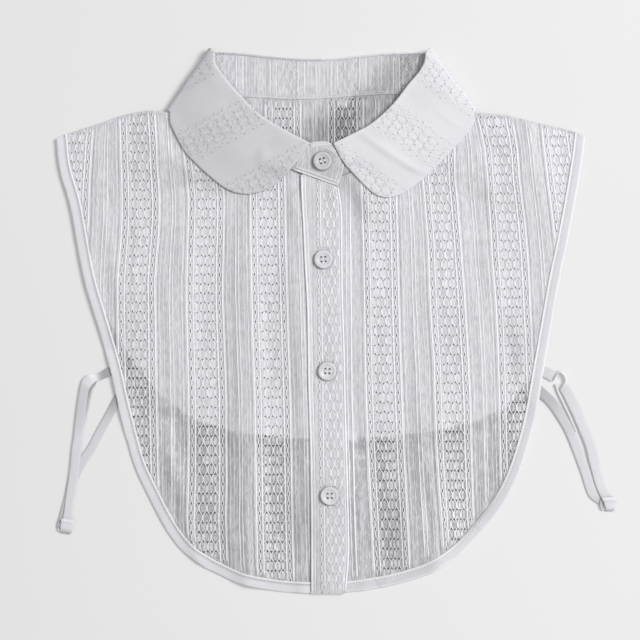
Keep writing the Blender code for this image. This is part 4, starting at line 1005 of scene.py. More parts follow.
def cloth_material(name, light, dark, sheen=0.15, rough=0.9, ribs=0.5, weave=1.0, gauze=(0.62, 0.87), streaks=0.5,
                   tips=(0.78, 0.42), chain=(0.62, 0.34), gutters=0.25, zone=(1.0, 1.0), bands=(0.30, 0.10)):
    """Plain-woven cotton with fine lengthwise streaks, and the thinner cloth inside the ovals of the net.

    The tone in the attribute's third number darkens it as painted shade; where it is low the cloth lies single, and the
    ovals, the painted shade in the openings and the streaks are stronger there.  Each pair is (single cloth, cloth over
    cloth)."""
    g = Nodes(name)
    s, t, tone = g.cloth()
    w = g.m("WRAP", s, PITCH / 2, -PITCH / 2)
    thin = g.ramp(tone, 0.90, 0.985, 1.0, 0.0)

    def between(pair):
        return g.m("MULTIPLY_ADD", thin, pair[0] - pair[1], pair[1])

    # fine lengthwise streaks: long thin noise at three widths
    fine = g.noise(g.vec(g.m("MULTIPLY", s, 1.35), g.m("MULTIPLY", t, 0.045)), 1.0, 3.0, 0.65)
    broad = g.noise(g.vec(g.m("MULTIPLY", s, 0.52), g.m("MULTIPLY", t, 0.022), 7.0), 1.0, 2.0, 0.55)
    mottle = g.noise(g.vec(g.m("MULTIPLY", s, 0.12), g.m("MULTIPLY", t, 0.07), 3.0), 1.0, 3.0, 0.6)
    base = g.mix(g.m("MULTIPLY", g.ramp(fine, 0.66, 0.34), g.m("MULTIPLY_ADD", thin, 0.45, streaks)), shade(light), shade(dark))
    base = g.mix(g.m("MULTIPLY", g.ramp(broad, 0.60, 0.34), g.m("MULTIPLY_ADD", thin, 0.45, streaks)), base, shade(dark * 0.86))
    # some runs of the cloth are closer than others
    band = g.noise(g.vec(g.m("MULTIPLY", s, 0.20), g.m("MULTIPLY", t, 0.010), 21.0), 1.0, 1.0, 0.5)
    base = g.mix(g.m("MULTIPLY", g.ramp(band, 0.56, 0.40), between(bands)), base, shade(dark * 0.55))
    slit = g.noise(g.vec(g.m("MULTIPLY", s, 0.95), g.m("MULTIPLY", t, 0.030), 31.0), 1.0, 2.0, 0.6)
    base = g.mix(g.m("MULTIPLY", g.ramp(slit, 0.47, 0.38), g.m("MULTIPLY_ADD", thin, 0.35, 0.12 * streaks)), base, shade(dark * 0.45))
    sway = g.noise(g.vec(g.m("MULTIPLY", s, 0.10), g.m("MULTIPLY", t, 0.16), 41.0), 1.0, 1.0, 0.5)
    crinkle = g.noise(g.vec(g.m("MULTIPLY_ADD", sway, 3.0, g.m("MULTIPLY", s, 1.15)), g.m("MULTIPLY", t, 0.17), 43.0), 1.0, 3.0, 0.7)
    base = g.mix(g.m("MULTIPLY", g.ramp(crinkle, 0.52, 0.41), g.m("MULTIPLY_ADD", thin, 0.25, 0.85 * streaks)), base, shade(dark * 0.62))
    base = g.mix(g.m("MULTIPLY", g.ramp(crinkle, 0.52, 0.62), g.m("MULTIPLY_ADD", thin, 0.30, 0.75 * streaks)), base, shade(light * 1.06))
    base = g.mix(g.ramp(mottle, 0.40, 0.75, 0.0, 0.25), base, shade(dark))
    # threads of the weave
    warp = g.m("SINE", g.m("ADD", g.m("MULTIPLY", s, 2 * math.pi / 0.58), g.m("MULTIPLY", fine, 5.0)))
    weft = g.m("SINE", g.m("MULTIPLY", t, 2 * math.pi / 0.44))
    over = g.m("MULTIPLY", warp, weft)
    rib = g.m("SINE", g.m("ADD", g.m("MULTIPLY", s, 2 * math.pi / 1.9), g.m("MULTIPLY", broad, 14.0)))
    pick = g.ramp(over, -1.0, 1.0, 0.955, 1.0, smooth=False)
    ribt = g.ramp(rib, -1.0, 1.0, 1.0 - 0.05 * ribs, 1.0, smooth=False)
    grey = g.m("MULTIPLY", g.m("MULTIPLY", pick, ribt), dimmed(g, tone))
    # the ovals: rows of three and rows of two, narrowing to a tip at both ends; their thin cloth is darker, partly the
    # thin cloth and partly painted shade of the surface seen through it
    row = g.m("FLOOR", g.m("DIVIDE", t, ROW))
    half = g.m("MULTIPLY", row, 0.5)
    odd = g.m("MULTIPLY", g.m("SUBTRACT", half, g.m("FLOOR", half)), 2.0)
    centre = g.m("MULTIPLY_ADD", odd, -OVAL, OVAL)
    dx = g.m("ABSOLUTE", g.m("WRAP", g.m("SUBTRACT", w, centre), OVAL, -OVAL))
    dy = g.m("ABSOLUTE", g.m("SUBTRACT", t, g.m("MULTIPLY", g.m("ADD", row, 0.5), ROW)))
    wide = g.m("MINIMUM", g.m("MULTIPLY_ADD", dy, -0.85, 3.32), 1.62)
    inset = g.m("SUBTRACT", wide, dx)
    in_net = g.ramp(g.m("ABSOLUTE", w), 6.6, 6.9, 1.0, 0.0)
    oval = g.m("MULTIPLY", g.ramp(inset, -0.12, 0.34, 0.0, 1.0), in_net)
    mesh = g.noise(g.vec(g.m("MULTIPLY", s, 1.2), g.m("MULTIPLY", t, 0.50), 11.0), 1.0, 2.5, 0.65)
    # a little lighter and uneven in the middle of each oval
    inner = g.m("ADD", between(gauze), g.m("MULTIPLY", g.ramp(inset, 0.45, 1.15, -0.5, 0.8), g.m("MULTIPLY_ADD", thin, 0.20, 0.05)))
    inner = g.m("ADD", inner, g.m("MULTIPLY", g.ramp(mesh, 0.34, 0.66, -1.0, 1.0), g.m("MULTIPLY_ADD", thin, 0.20, 0.07)))
    grey = g.m("MULTIPLY", grey, g.m("MULTIPLY_ADD", oval, g.m("SUBTRACT", inner, 1.0), 1.0))
    # painted shade in the openings at the tips of the ovals: dark dots where the shaded surface below shows through
    column = g.m("FLOOR", g.m("ADD", g.m("DIVIDE", w, OVAL), 0.5))
    nearest = g.m("FLOOR", g.m("ADD", g.m("DIVIDE", t, ROW), 0.5))
    e = g.m("MULTIPLY", g.m("ADD", g.m("ADD", column, nearest), float(PARITY)), 0.5)
    e = g.m("MULTIPLY", g.m("SUBTRACT", e, g.m("FLOOR", e)), 2.0)
    near = g.m("SUBTRACT", w, g.m("MULTIPLY", column, OVAL))
    off = g.m("SUBTRACT", g.m("SUBTRACT", t, g.m("MULTIPLY", nearest, ROW)), g.m("MULTIPLY_ADD", e, 0.88, -0.44))
    # narrow at the end that points up or down
    point = g.m("MULTIPLY", off, g.m("MULTIPLY_ADD", e, -2.0, 1.0))
    breadth = g.m("MAXIMUM", g.m("MULTIPLY_ADD", point, 0.55, 0.62), 0.14)
    a = g.m("DIVIDE", g.m("ABSOLUTE", near), breadth)
    b = g.m("DIVIDE", g.m("ABSOLUTE", off), 0.78)
    far = g.m("SQRT", g.m("ADD", g.m("MULTIPLY", a, a), g.m("MULTIPLY", b, b)))
    far = g.m("MULTIPLY", far, g.m("MULTIPLY_ADD", thin, -0.22, 1.0))
    uneven = g.noise(g.vec(g.m("MULTIPLY", s, 0.30), g.m("MULTIPLY", t, 0.26), 17.0), 1.0, 2.0, 0.7)
    uneven = g.m("MAXIMUM", g.ramp(uneven, 0.30, 0.62, 0.35, 1.12), g.m("MULTIPLY", thin, 0.9))
    dot = g.m("MULTIPLY", g.m("MULTIPLY", g.ramp(far, 0.66, 1.05, 1.0, 0.0), in_net), g.m("MULTIPLY", between(tips), uneven))
    # and painted shade in the chains' small openings: a dark place at each row and along both sides of the loops
    far_c = g.m("ABSOLUTE", g.m("SUBTRACT", g.m("ABSOLUTE", w), CHAIN_AT))
    eye = g.m("ABSOLUTE", g.m("WRAP", t, ROW / 2, -ROW / 2))
    spot = g.m("MULTIPLY", g.ramp(far_c, 0.28, 0.50, 1.0, 0.0), g.ramp(eye, 0.55, 1.05, 1.0, 0.0))
    spot = g.m("MULTIPLY", spot, g.ramp(mesh, 0.30, 0.55, 0.6, 1.1))
    slot = g.m("MULTIPLY", g.ramp(g.m("ABSOLUTE", g.m("SUBTRACT", far_c, 0.80)), 0.10, 0.36, 1.0, 0.0), g.ramp(eye, 0.9, 1.9, 0.0, 0.62))
    slot = g.m("MULTIPLY", slot, g.ramp(mesh, 0.36, 0.60, 0.35, 1.05))
    spot = g.m("MULTIPLY", g.m("MAXIMUM", spot, slot), between(chain))
    in_chain = g.ramp(far_c, 1.15, 1.55, 1.0, 0.0)
    grey = g.m("MULTIPLY", grey, g.m("MULTIPLY_ADD", in_chain, g.m("SUBTRACT", between(zone), 1.0), 1.0))
    # painted shade: dark lines in the grooves outside the cords and inside the net's ridges
    gutter = g.ramp(g.m("ABSOLUTE", g.m("SUBTRACT", g.m("ABSOLUTE", w), 12.75)), 0.10, 0.55, gutters, 0.0)
    ridge = g.ramp(g.m("ABSOLUTE", g.m("SUBTRACT", g.m("ABSOLUTE", w), 6.5)), 0.08, 0.35, gutters, 0.0)
    spot = g.m("MAXIMUM", g.m("MAXIMUM", spot, dot), g.m("MAXIMUM", gutter, ridge))
    grey = g.m("MULTIPLY", grey, g.m("SUBTRACT", 1.0, spot))
    gc = g.node("CombineColor")
    for i in range(3):
        g.link(grey, gc.inputs[i])
    base = g.mix(1.0, base, gc.outputs[0], "MULTIPLY")
    g.link(base, g.bsdf.inputs["Base Color"])
    g.bsdf.inputs["Roughness"].default_value = rough
    g.bsdf.inputs["Sheen Weight"].default_value = sheen
    g.bsdf.inputs["Sheen Roughness"].default_value = 0.5
    g.bsdf.inputs["Specular IOR Level"].default_value = 0.2
    height = g.m("ADD", g.m("MULTIPLY", over, 0.30 * weave), g.m("ADD", g.m("MULTIPLY", rib, 0.22 * ribs), g.m("MULTIPLY", fine, 2.2 * ribs)))
    fuzz = g.noise(g.vec(g.m("MULTIPLY", s, 2.2), g.m("MULTIPLY", t, 1.3)), 1.0, 3.0, 0.7)
    height = g.m("ADD", height, g.m("MULTIPLY", fuzz, 0.8))
    g.link(g.bump(height, 0.00010, 0.9), g.bsdf.inputs["Normal"])
    return g.mat


def thread_material(name, value, twist=0.5, rough=0.8, sheen=0.25):
    """Twisted cotton yarn: slanting plies along its run and a slight change of tone."""
    g = Nodes(name)
    s, t, tone = g.cloth()
    ply = g.m("SINE", g.m("ADD", g.m("MULTIPLY", t, 2 * math.pi / twist), g.m("MULTIPLY", s, 9.0)))
    tint = g.noise(g.vec(g.m("MULTIPLY", s, 0.8), g.m("MULTIPLY", t, 0.15)), 1.0, 2.0, 0.5)
    base = g.mix(g.ramp(ply, -1.0, 1.0, 0.0, 0.35, smooth=False), shade(value), shade(value * 0.86))
    base = g.mix(g.ramp(tint, 0.3, 0.7, 0.0, 0.25), base, shade(value * 0.9))
    gc = g.node("CombineColor")
    tone = dimmed(g, tone)
    for i in range(3):
        g.link(tone, gc.inputs[i])
    base = g.mix(1.0, base, gc.outputs[0], "MULTIPLY")
    g.link(base, g.bsdf.inputs["Base Color"])
    g.bsdf.inputs["Roughness"].default_value = rough
    g.bsdf.inputs["Sheen Weight"].default_value = sheen
    g.bsdf.inputs["Specular IOR Level"].default_value = 0.25
    g.link(g.bump(ply, 0.00005, 0.5), g.bsdf.inputs["Normal"])
    return g.mat


def tape_material(name, value, pitch=0.55):
    """Woven tape: fine ribs across it and a fine lengthwise twill."""
    g = Nodes(name)
    s, t, tone = g.cloth()
    rib = g.m("SINE", g.m("MULTIPLY", t, 2 * math.pi / pitch))
    end = g.m("SINE", g.m("MULTIPLY", s, 2 * math.pi / 0.42))
    over = g.m("MULTIPLY", rib, end)
    soft = g.noise(g.vec(g.m("MULTIPLY", s, 0.25), g.m("MULTIPLY", t, 0.09)), 1.0, 3.0, 0.6)
    base = g.mix(g.ramp(over, -1.0, 1.0, 0.0, 0.3, smooth=False), shade(value), shade(value * 0.88))
    base = g.mix(g.ramp(soft, 0.35, 0.7, 0.0, 0.4), base, shade(value * 0.9))
    gc = g.node("CombineColor")
    tone = dimmed(g, tone)
    for i in range(3):
        g.link(tone, gc.inputs[i])
    base = g.mix(1.0, base, gc.outputs[0], "MULTIPLY")
    g.link(base, g.bsdf.inputs["Base Color"])
    g.bsdf.inputs["Roughness"].default_value = 0.8
    g.bsdf.inputs["Sheen Weight"].default_value = 0.2
    g.bsdf.inputs["Specular IOR Level"].default_value = 0.25
    g.link(g.bump(g.m("ADD", over, g.m("MULTIPLY", soft, 2.0)), 0.00006, 0.8), g.bsdf.inputs["Normal"])
    return g.mat


def button_material(name):
    """Moulded white resin with a faint pearly cloud and a soft gloss."""
    g = Nodes(name)
    at = g.node("TexCoord").outputs["Object"]
    cloud = g.noise(at, 260.0, 4.0, 0.6)
    fine = g.noise(at, 2400.0, 2.0, 0.5)
    base = g.mix(g.ramp(cloud, 0.35, 0.7), shade(0.66), shade(0.76))
    gc = g.node("CombineColor")
    # painted shade from the 'dim' attribute darkens the colour
    a = g.node("Attribute", attribute_name="dim", attribute_type="GEOMETRY")
    for i in range(3):
        g.link(g.m("ADD", a.outputs["Fac"], 1.0), gc.inputs[i])
    base = g.mix(1.0, base, gc.outputs[0], "MULTIPLY")
    g.link(base, g.bsdf.inputs["Base Color"])
    g.link(g.ramp(fine, 0.3, 0.7, 0.34, 0.46), g.bsdf.inputs["Roughness"])
    g.bsdf.inputs["Subsurface Weight"].default_value = 0.08
    g.bsdf.inputs["Subsurface Radius"].default_value = (0.001, 0.001, 0.001)
    g.bsdf.inputs["Coat Weight"].default_value = 0.12
    g.bsdf.inputs["Coat Roughness"].default_value = 0.2
    g.link(g.bump(fine, 0.00003, 0.3), g.bsdf.inputs["Normal"])
    return g.mat


def floor_material():
    g = Nodes("stage_floor")
    at = g.node("TexCoord").outputs["Object"]
    soft = g.noise(at, 1.4, 2.0, 0.5)
    g.link(g.mix(g.ramp(soft, 0.3, 0.7), (0.64, 0.64, 0.644, 1.0), (0.668, 0.668, 0.672, 1.0)), g.bsdf.inputs["Base Color"])
    # the floor glows a little of its own: painted light that keeps the shadows on it faint
    g.bsdf.inputs["Emission Color"].default_value = (1.0, 1.0, 1.0, 1.0)
    g.bsdf.inputs["Emission Strength"].default_value = 0.15
    g.bsdf.inputs["Roughness"].default_value = 0.95
    g.bsdf.inputs["Specular IOR Level"].default_value = 0.1
    return g.mat


# ---------------------------------------------------------------- the ring of the collar, on the CAD's form, finer
def ring_surface(kind, fine=4):
    """Middle points of the stand or the fall, as the solids have them, with the fall's soft dents."""
    fall = kind == "fall"
    bend = [math.radians(a) for a in np.arange(15, 180, 15)]

    def crest(side, u):
        front = CREST_FRONT_OVER if side == "over" else CREST_FRONT_UNDER
        return front + (CREST_SIDE - front) * step(np.asarray(u) / 0.45)

    def fall_plan(side, u, t):
        if side == "over":
            return patch(fold_over, outer_over, tip_over, straight(fold_over(1.0), outer_over(1.0)), u, t)
        if side == "under":
            return patch(fold_under, outer_under, tip_under, straight(fold_under(1.0), outer_under(1.0)), u, t)
        return patch(fold_back, outer_back, straight(fold_over(1.0), outer_over(1.0)),
                     straight(fold_under(1.0), outer_under(1.0)), u, t)

    def fall_height(side, u, t, p):
        base = cover_field(p) + COVER_CLEAR
        top = crest(side, u)[:, None]
        at_fold = base[:, :1]
        share = np.clip((t[None] - 0.03) / 0.97, 0, 1)
        z = base + (top - at_fold) * (1 - share) ** 1.6
        for x0, d0, x1, d1, height, half in FALL_DENTS:
            a, b = np.array((x0, d0)), np.array((x1, d1))
            w = np.clip(((p - a) @ (b - a)) / ((b - a) @ (b - a)), 0, 1)
            d = np.linalg.norm(p - (a + w[..., None] * (b - a)), axis=-1)
            z = z + height * np.exp(-(d / half) ** 2) * np.sin(math.pi * np.clip(w * 0.9 + 0.05, 0, 1)) ** 0.5
        return z

    body = np.concatenate([np.linspace(0.03, 0.97, 30), [0.980, 0.989, 0.995, 0.9985, 1.0]])
    turns = [math.radians(a) for a in np.arange(0, 180, 15)]
    depth = 50.0

    def with_roll(side, u):
        roll_t = np.array([(ROLL_START - ROLL_RADIUS * math.sin(a)) / depth for a in turns])
        t = np.concatenate([roll_t, body])
        p = fall_plan(side, u, t)
        below = np.array([2 * ROLL_RADIUS - ROLL_RADIUS * (1 - math.cos(a)) for a in turns] + [0.0] * len(body))
        return t, p, below

    k = len(turns)
    if fall:
        u_front = np.concatenate([[0.0, 0.0016, 0.005, 0.011, 0.02], np.linspace(0.035, 1, 64)])
        u_back = np.linspace(0, 1, 70)
        rows = {}
        for side in ("over", "under"):
            t, p, below = with_roll(side, u_front)
            z = fall_height(side, u_front, t, p)
            if side == "under":          # its front edge lies down on the other side's end and on the front
                d = along(p, tip_under(np.linspace(0, 1, 40)))
                drop = (0.9 + 1.4 * step((p[..., 1] - 68.0) / 6.0)) * np.exp(-(d / 7.0) ** 2)
                z = np.minimum(z, np.maximum(z - drop, front_form(p) + 1.85))
            z[:, :k] = z[:, k:k + 1]
            rows[side] = np.concatenate([p, (z - below)[..., None]], axis=-1)
        over, under = rows["over"], rows["under"]
        t, p, below = with_roll("back", u_back)
        sunk = below - np.array([0.95, 0.60, 0.25] + [0.0] * (len(below) - 3))
        back = np.concatenate([p, np.broadcast_to(BACK_FALL_Z + sunk, p.shape[:-1])[..., None]], axis=-1)
    else:
        v = np.linspace(0, 1, 22)
        u_front, u_back = np.linspace(0, 1, 80), np.linspace(0, 1, 70)
        lift = ROLL_START + GAP + 0.15

        def stand_plan(side):
            fold = Curve.__new__(Curve)
            top = fall_plan(side, np.linspace(0, 1, 120), np.array([lift / depth]))[:, 0]
            if side == "over":
                fold.set(np.vstack([TAB_END[0], [(-2.0, 60.4), (-6.0, 60.2)], top[top[:, 0] < -8.0]]))
                return patch(fold, seam_over, Curve(TAB_END), straight(fold(1.0), seam_over(1.0)), u_front, v), fold
            fold.set(np.vstack([UNDER_END[0], [(2.0, 61.2), (7.0, 60.6)], top[top[:, 0] > 9.0]]))
            return patch(fold, seam_under, Curve(UNDER_END), straight(fold(1.0), seam_under(1.0)), u_front, v), fold

        p, fold = stand_plan("over")
        tab = step((-12.0 - p[..., 0]) / 10.0)
        seat = front_field(p) + CLOTH / 2 + (PLACKET_LIFT + 0.1) * (1 - tab)
        high = crest("over", np.clip((u_front * fold.length - 10.0) / fold_over.length, 0, 1))[:, None]
        top = high - 2 * ROLL_RADIUS - 0.45
        z = seat + np.maximum(top - seat[:, :1], 0) * (1 - v[None]) ** 1.3 * step((-2.0 - p[..., 0]) / 6.0)
        over = np.concatenate([p, z[..., None]], axis=-1)

        p, fold = stand_plan("under")
        seat = front_field(p) + 0.4
        high = crest("under", np.clip((u_front * fold.length - 11.0) / fold_under.length, 0, 1))[:, None]
        top = high - 2 * ROLL_RADIUS - 0.45
        steep = 1.3 + 5.0 * (1 - step((p[..., 0] - 8.0) / 16.0))
        z = seat + np.maximum(top - seat[:, :1], 0) * (1 - v[None]) ** steep * step((p[..., 0] - 4.6) / 3.0)
        under = np.concatenate([p, z[..., None]], axis=-1)

        fold = Curve.__new__(Curve)
        fold.set(fall_plan("back", np.linspace(0, 1, 60), np.array([(ROLL_START - 0.55) / depth]))[:, 0])
        q = patch(fold, seam_back, straight(over[-1, 0, :2], seam_back(0.0)),
                  straight(under[-1, 0, :2], seam_back(1.0)), u_back, v)
        back = np.concatenate([q, np.full(q.shape[:-1], BACK_STAND_Z)[..., None]], axis=-1)

    def side_bend(front, rear, outward):
        middle = (front + rear) / 2
        radius = (front[:, 2] - rear[:, 2]) / 2
        out = []
        for a in bend:
            q = middle.copy()
            q[:, :2] += outward * (radius * math.sin(a))[:, None]
            q[:, 2] += radius * math.cos(a)
            out.append(q)
        return out

    def outward(front, sign):
        d = front[-1, :2] - front[0, :2]
        d /= np.linalg.norm(d)
        return sign * np.array([d[1], -d[0]])

    columns = list(over)
    columns += side_bend(over[-1], back[0], outward(over[-1], -1))
    columns += list(back)
    columns += side_bend(under[-1], back[-1], outward(under[-1], 1))[::-1]
    columns += list(under[::-1])
    return np.array(columns)


def round_skin(name, middle, half, mat, cloth):
    """A closed shell about middle points, with its own half thickness at each point."""
    du = np.gradient(middle, axis=0)
    dv = np.gradient(middle, axis=1)
    nrm = np.cross(du, dv)
    nrm /= np.maximum(np.linalg.norm(nrm, axis=-1), 1e-9)[..., None]
    a = middle - nrm * half[..., None]
    b = middle + nrm * half[..., None]
    n, m = middle.shape[:2]
    idx = np.arange(n * m).reshape(n, m)
    top = np.stack([idx[:-1, :-1], idx[1:, :-1], idx[1:, 1:], idx[:-1, 1:]], axis=-1).reshape(-1, 4)
    N = n * m
    rim = []
    ring = np.concatenate([idx[:-1, 0][::1], idx[-1, :-1], idx[1:, -1][::-1], idx[0, 1:][::-1]])
    nxt = np.roll(ring, -1)
    walls = np.stack([ring, nxt, nxt + N, ring + N], axis=-1)
    verts = np.concatenate([a.reshape(-1, 3), b.reshape(-1, 3)])
    c = np.concatenate([cloth.reshape(-1, 3)] * 2)
    return make(name, verts, [top + N, top[:, ::-1], walls], mat, c, 50)


def sweep(bag_or_name, sections, mat=None, cloth=None, closed_ends=True, sharp=45):
    """A closed body from rings of points: sections is (n, k, 3)."""
    n, k = sections.shape[:2]
    i = np.arange(n - 1)[:, None] * k
    j = np.arange(k)[None]
    j2 = (j + 1) % k
    quads = np.stack([i + j, i + k + j, i + k + j2, i + j2], axis=-1).reshape(-1, 4)
    tris = []
    for a in range(1, k - 1):
        tris.append((0, a, a + 1))
        tris.append(((n - 1) * k, (n - 1) * k + a + 1, (n - 1) * k + a))
    verts = sections.reshape(-1, 3)
    if isinstance(bag_or_name, Bag):
        bag_or_name.add(verts, quads, tris, cloth)
        return None
    return make(bag_or_name, verts, [quads, np.array(tris)], mat, cloth, sharp)


def stitches(bag, line, height, length=2.1, gap=0.75, radius=0.19, sink=0.02, tone=1.0, every=1, jitter=0.0, seed=1.0):
    """A row of short thread stitches along a plan curve."""
    n = int(line.length / (length + gap))
    for i in range(0, n, every):
        a = (i * (length + gap)) / line.length
        u = np.linspace(a, a + length / line.length, 5)
        p = line(u)[:, :2]
        if jitter:
            p = p + jitter * np.array([math.sin(i * 2.1 + seed), math.cos(i * 1.3 + seed)])
        z = height(p) + sink + np.array([-0.12, 0.05, 0.09, 0.05, -0.12])
        tube(bag, np.column_stack([p, z]), radius * np.array([0.55, 1.0, 1.05, 1.0, 0.55]), 5, 0.8,
             np.column_stack([np.zeros(5), u * line.length, np.full(5, tone)]))


# ---------------------------------------------------------------- forms
front_field = Field(front_level)
back_field = Field(back_level)
cover_field = Field(cover_level)
over_back_field = Field(lambda p: outside(p, back_outline))




def polygon(*parts):
    return np.vstack([np.asarray(q, float)[:, :2] for q in parts])


dense = np.linspace(0, 1, 90)
edge_in_over = edge_over.side(BINDING_WIDTH - 0.5)
edge_in_under = edge_under.side(-(BINDING_WIDTH - 0.5))
SHOULDER_STOP_OVER = 1 - 6.0 / shoulder_over.length
SHOULDER_STOP_UNDER = 1 - 6.0 / shoulder_under.length


def front_outline(seam, seam_from, shoulder, stop, inset, centre, foot, turn):
    neck = seam.between(seam_from, 1.0).side(turn * GAP).pts
    line = shoulder(np.linspace(0, stop, 60))
    tip = line[-1]
    side = inset.pts[np.linalg.norm(inset.pts - tip, axis=1).argmin() + 1:]
    side = side[:int(np.argmin(np.abs(side[:, 0] - foot)))]
    mid = centre.pts[(centre.pts[:, 1] > neck[0, 1] + 0.5) & (centre.pts[:, 1] < side[-1, 1] - 0.5)]
    return polygon(neck[:-1], line, side, mid[::-1])


outline_over = front_outline(seam_over, seam_over.share_at(across=-7.9), shoulder_over, SHOULDER_STOP_OVER, edge_in_over,
                             placket_sewn.side(PLACKET_LAP), -1.3, 1)
outline_under = front_outline(seam_under, 0.0, shoulder_under, SHOULDER_STOP_UNDER, edge_in_under,
                              placket_sewn.side(PLACKET_SPLIT), -0.2, -1)
fall_zone_over = polygon(fold_over(dense), outer_over(1 - dense), tip_over(1 - dense))
fall_zone_under = polygon(fold_under(dense), outer_under(1 - dense), tip_under(1 - dense))


def free_creases(p):
    """The creases die out towards the falls, which press the fronts flat."""
    few = np.linspace(0, 1, 22)
    clear = np.full(p.shape[:-1], 1e9)
    for fold, outer, tip in ((fold_over, outer_over, tip_over), (fold_under, outer_under, tip_under)):
        clear = np.minimum(clear, outside(p, polygon(fold(few), outer(1 - few), tip(1 - few))))
    return creases(p) * step((clear - 0.5) / 7.0)


crease_field = Field(free_creases)
dim_field = Field(lambda p: swells(p, DIMS))


def front_form(p):
    return front_field(p) + crease_field(p)


def down_of(t, anchor, above, below):
    """Rows of the cloth are a little closer above the anchor than below it."""
    return anchor + np.where(t < 0, t * above / ROW, t * below / ROW)


def tone_at(p):
    """Painted shade: cloth that lies single, with only the surface below it, is darker than cloth over the back panel,
    most of all in an uneven band just past the back panel's hem.
    """
    d = over_back_field(p)
    single = step((d - 0.3) / 1.6)
    wander = noise1(p[..., 0] * 0.35, 2.0) * 0.5 + noise1(p[..., 0] * 1.1 + p[..., 1] * 0.08, 5.0) * 0.5
    near = np.exp(-((d - 4.0) / 4.5) ** 2) * single
    return 1.0 - 0.075 * single - near * (0.05 + 0.06 * wander)


def build_cloth_panel(name, warp, outline, anchor, above, below, k0, k1, left, right, t_from, t_to, mat, low, tone, drop,
                      side_gap=0.0):
    lines = lace_lines(k0, k1, left, right)
    rows, n0 = row_lines(t_from, t_to, 0.0)
    S, T = np.meshgrid(lines, rows, indexing="ij")
    down = down_of(T, anchor, above, below)
    flat = np.stack([warp(S, down), down], axis=-1)
    single = step((over_back_field(flat) - 0.3) / 1.6)
    # the openings fade towards the under front's shoulder
    shut = step((flat[..., 0] - 64.0) / 10.0) * step((flat[..., 1] - 46.0) / 14.0) * (1 - step((flat[..., 1] - 136.0) / 18.0))
    S2, T2 = shape_tips(S, T, lines, rows, n0, PARITY, (0.65 + 0.23 * single) * (1 - 0.50 * shut))
    down = down_of(T2, anchor, above, below)
    P = np.stack([warp(S2, down), down], axis=-1)
    sd = signed(P, outline)
    holes = lace_holes(lines, rows, range(k0, k1 + 1))
    hidden = drop(P)                       # no openings where another piece lies on it, or at the rim
    mid = (sd[:-1, :-1] + sd[1:, 1:]) / 2
    covered = hidden[:-1, :-1] | hidden[1:, 1:] | (mid < 0.9)
    cloth = np.stack([S2, T2, tone(P)], axis=-1)
    return clipped_shell(name, P, sd, holes & ~covered, low, CLOTH_THIN, mat, cloth)


# ---------------------------------------------------------------- materials made once
COTTON = cloth_material("openwork_cotton_cloth", 0.845, 0.712, ribs=0.5, tips=(0.98, 0.44), gauze=(0.85, 1.02), chain=(0.92, 0.62),
                        zone=(0.97, 1.0), bands=(0.75, 0.28))
COTTON_BACK = cloth_material("openwork_cotton_back", 0.78, 0.62, ribs=0.6, gauze=(0.62, 0.90), tips=(0.98, 0.45), chain=(0.7, 0.4),
                             zone=(0.85, 0.92), bands=(0.4, 0.2))
COTTON_BAND = cloth_material("placket_cotton_cloth", 0.80, 0.72, ribs=0.4, gauze=(0.94, 0.94), streaks=0.4, tips=(0.3, 0.20),
                             chain=(0.45, 0.45), gutters=0.15, zone=(0.95, 0.95), bands=(0.1, 0.1))
COLLAR = cloth_material("collar_cotton_cloth", 0.80, 0.75, ribs=0.04, sheen=0.15, gauze=(0.97, 0.97), streaks=0.04,
                        tips=(0.30, 0.27), chain=(0.26, 0.22), gutters=0.0, bands=(0.0, 0.0))
STAND = cloth_material("stand_cotton_cloth", 0.81, 0.68, ribs=0.6, sheen=0.15, gauze=(0.92, 0.92), tips=(0.16, 0.16), gutters=0.15,
                       chain=(0.18, 0.18), bands=(0.15, 0.15))
YARN = thread_material("openwork_yarn", 0.96)
YARN_COLLAR = thread_material("collar_yarn", 0.82)
TAPE = tape_material("binding_tape_cloth", 0.88)
STRAP = tape_material("strap_tape_cloth", 0.80, pitch=0.7)
STITCH = thread_material("sewing_thread", 0.92, twist=0.35)
BUTTON = button_material("button_resin")


def neck_tone(p):
    """Painted shade on the inside of the neck, which lies deep beside the over-standing fold and above the tab, where
    less light gets; and a painted patch of light about 15 mm across and 36.5 mm down.
    """
    right = along(p, fold_under(np.linspace(0, 1, 30)))
    middle = np.hypot(p[..., 0] - 5.8, p[..., 1] - 56.5)
    lit = np.exp(-((p[..., 0] - 15.0) / 5.0) ** 2 - ((p[..., 1] - 36.5) / 7.0) ** 2)
    return (1 - 0.28 * np.exp(-((right - 9.0) / 11.0) ** 2)) * (1 - 0.09 * np.exp(-(middle / 15.0) ** 3)) * (1 + 0.14 * lit)


# ---------------------------------------------------------------- the two fronts
def hidden_over(p):
    return (signed(p, fall_zone_over) > 1.5) | (signed(p, placket_zone) > 0.8)


def hidden_under(p):
    return (signed(p, fall_zone_under) > 1.5) | (signed(p, placket_zone) > 0.8)


placket_zone = polygon(placket_sewn(dense), placket_folded(1 - dense))
cloth_low = lambda p: front_form(p) + CLOTH_LOW
yarn_top = lambda p: front_form(p) + CLOTH_LOW + CLOTH_THIN

front_over = build_cloth_panel(
    "front_over_cloth", WARP_OVER, outline_over, ANCHOR_OVER, ABOVE_OVER, BELOW_OVER, 0, 3, 16.0, 26.0,
    -170.0, 150.0, COTTON, cloth_low, tone_at, hidden_over)
front_under = build_cloth_panel(
    "front_under_cloth", WARP_UNDER, outline_under, ANCHOR_UNDER, ABOVE_UNDER, BELOW_UNDER, 0, 3, 36.0, 12.0,
    -180.0, 135.0, COTTON, cloth_low, tone_at, hidden_under)


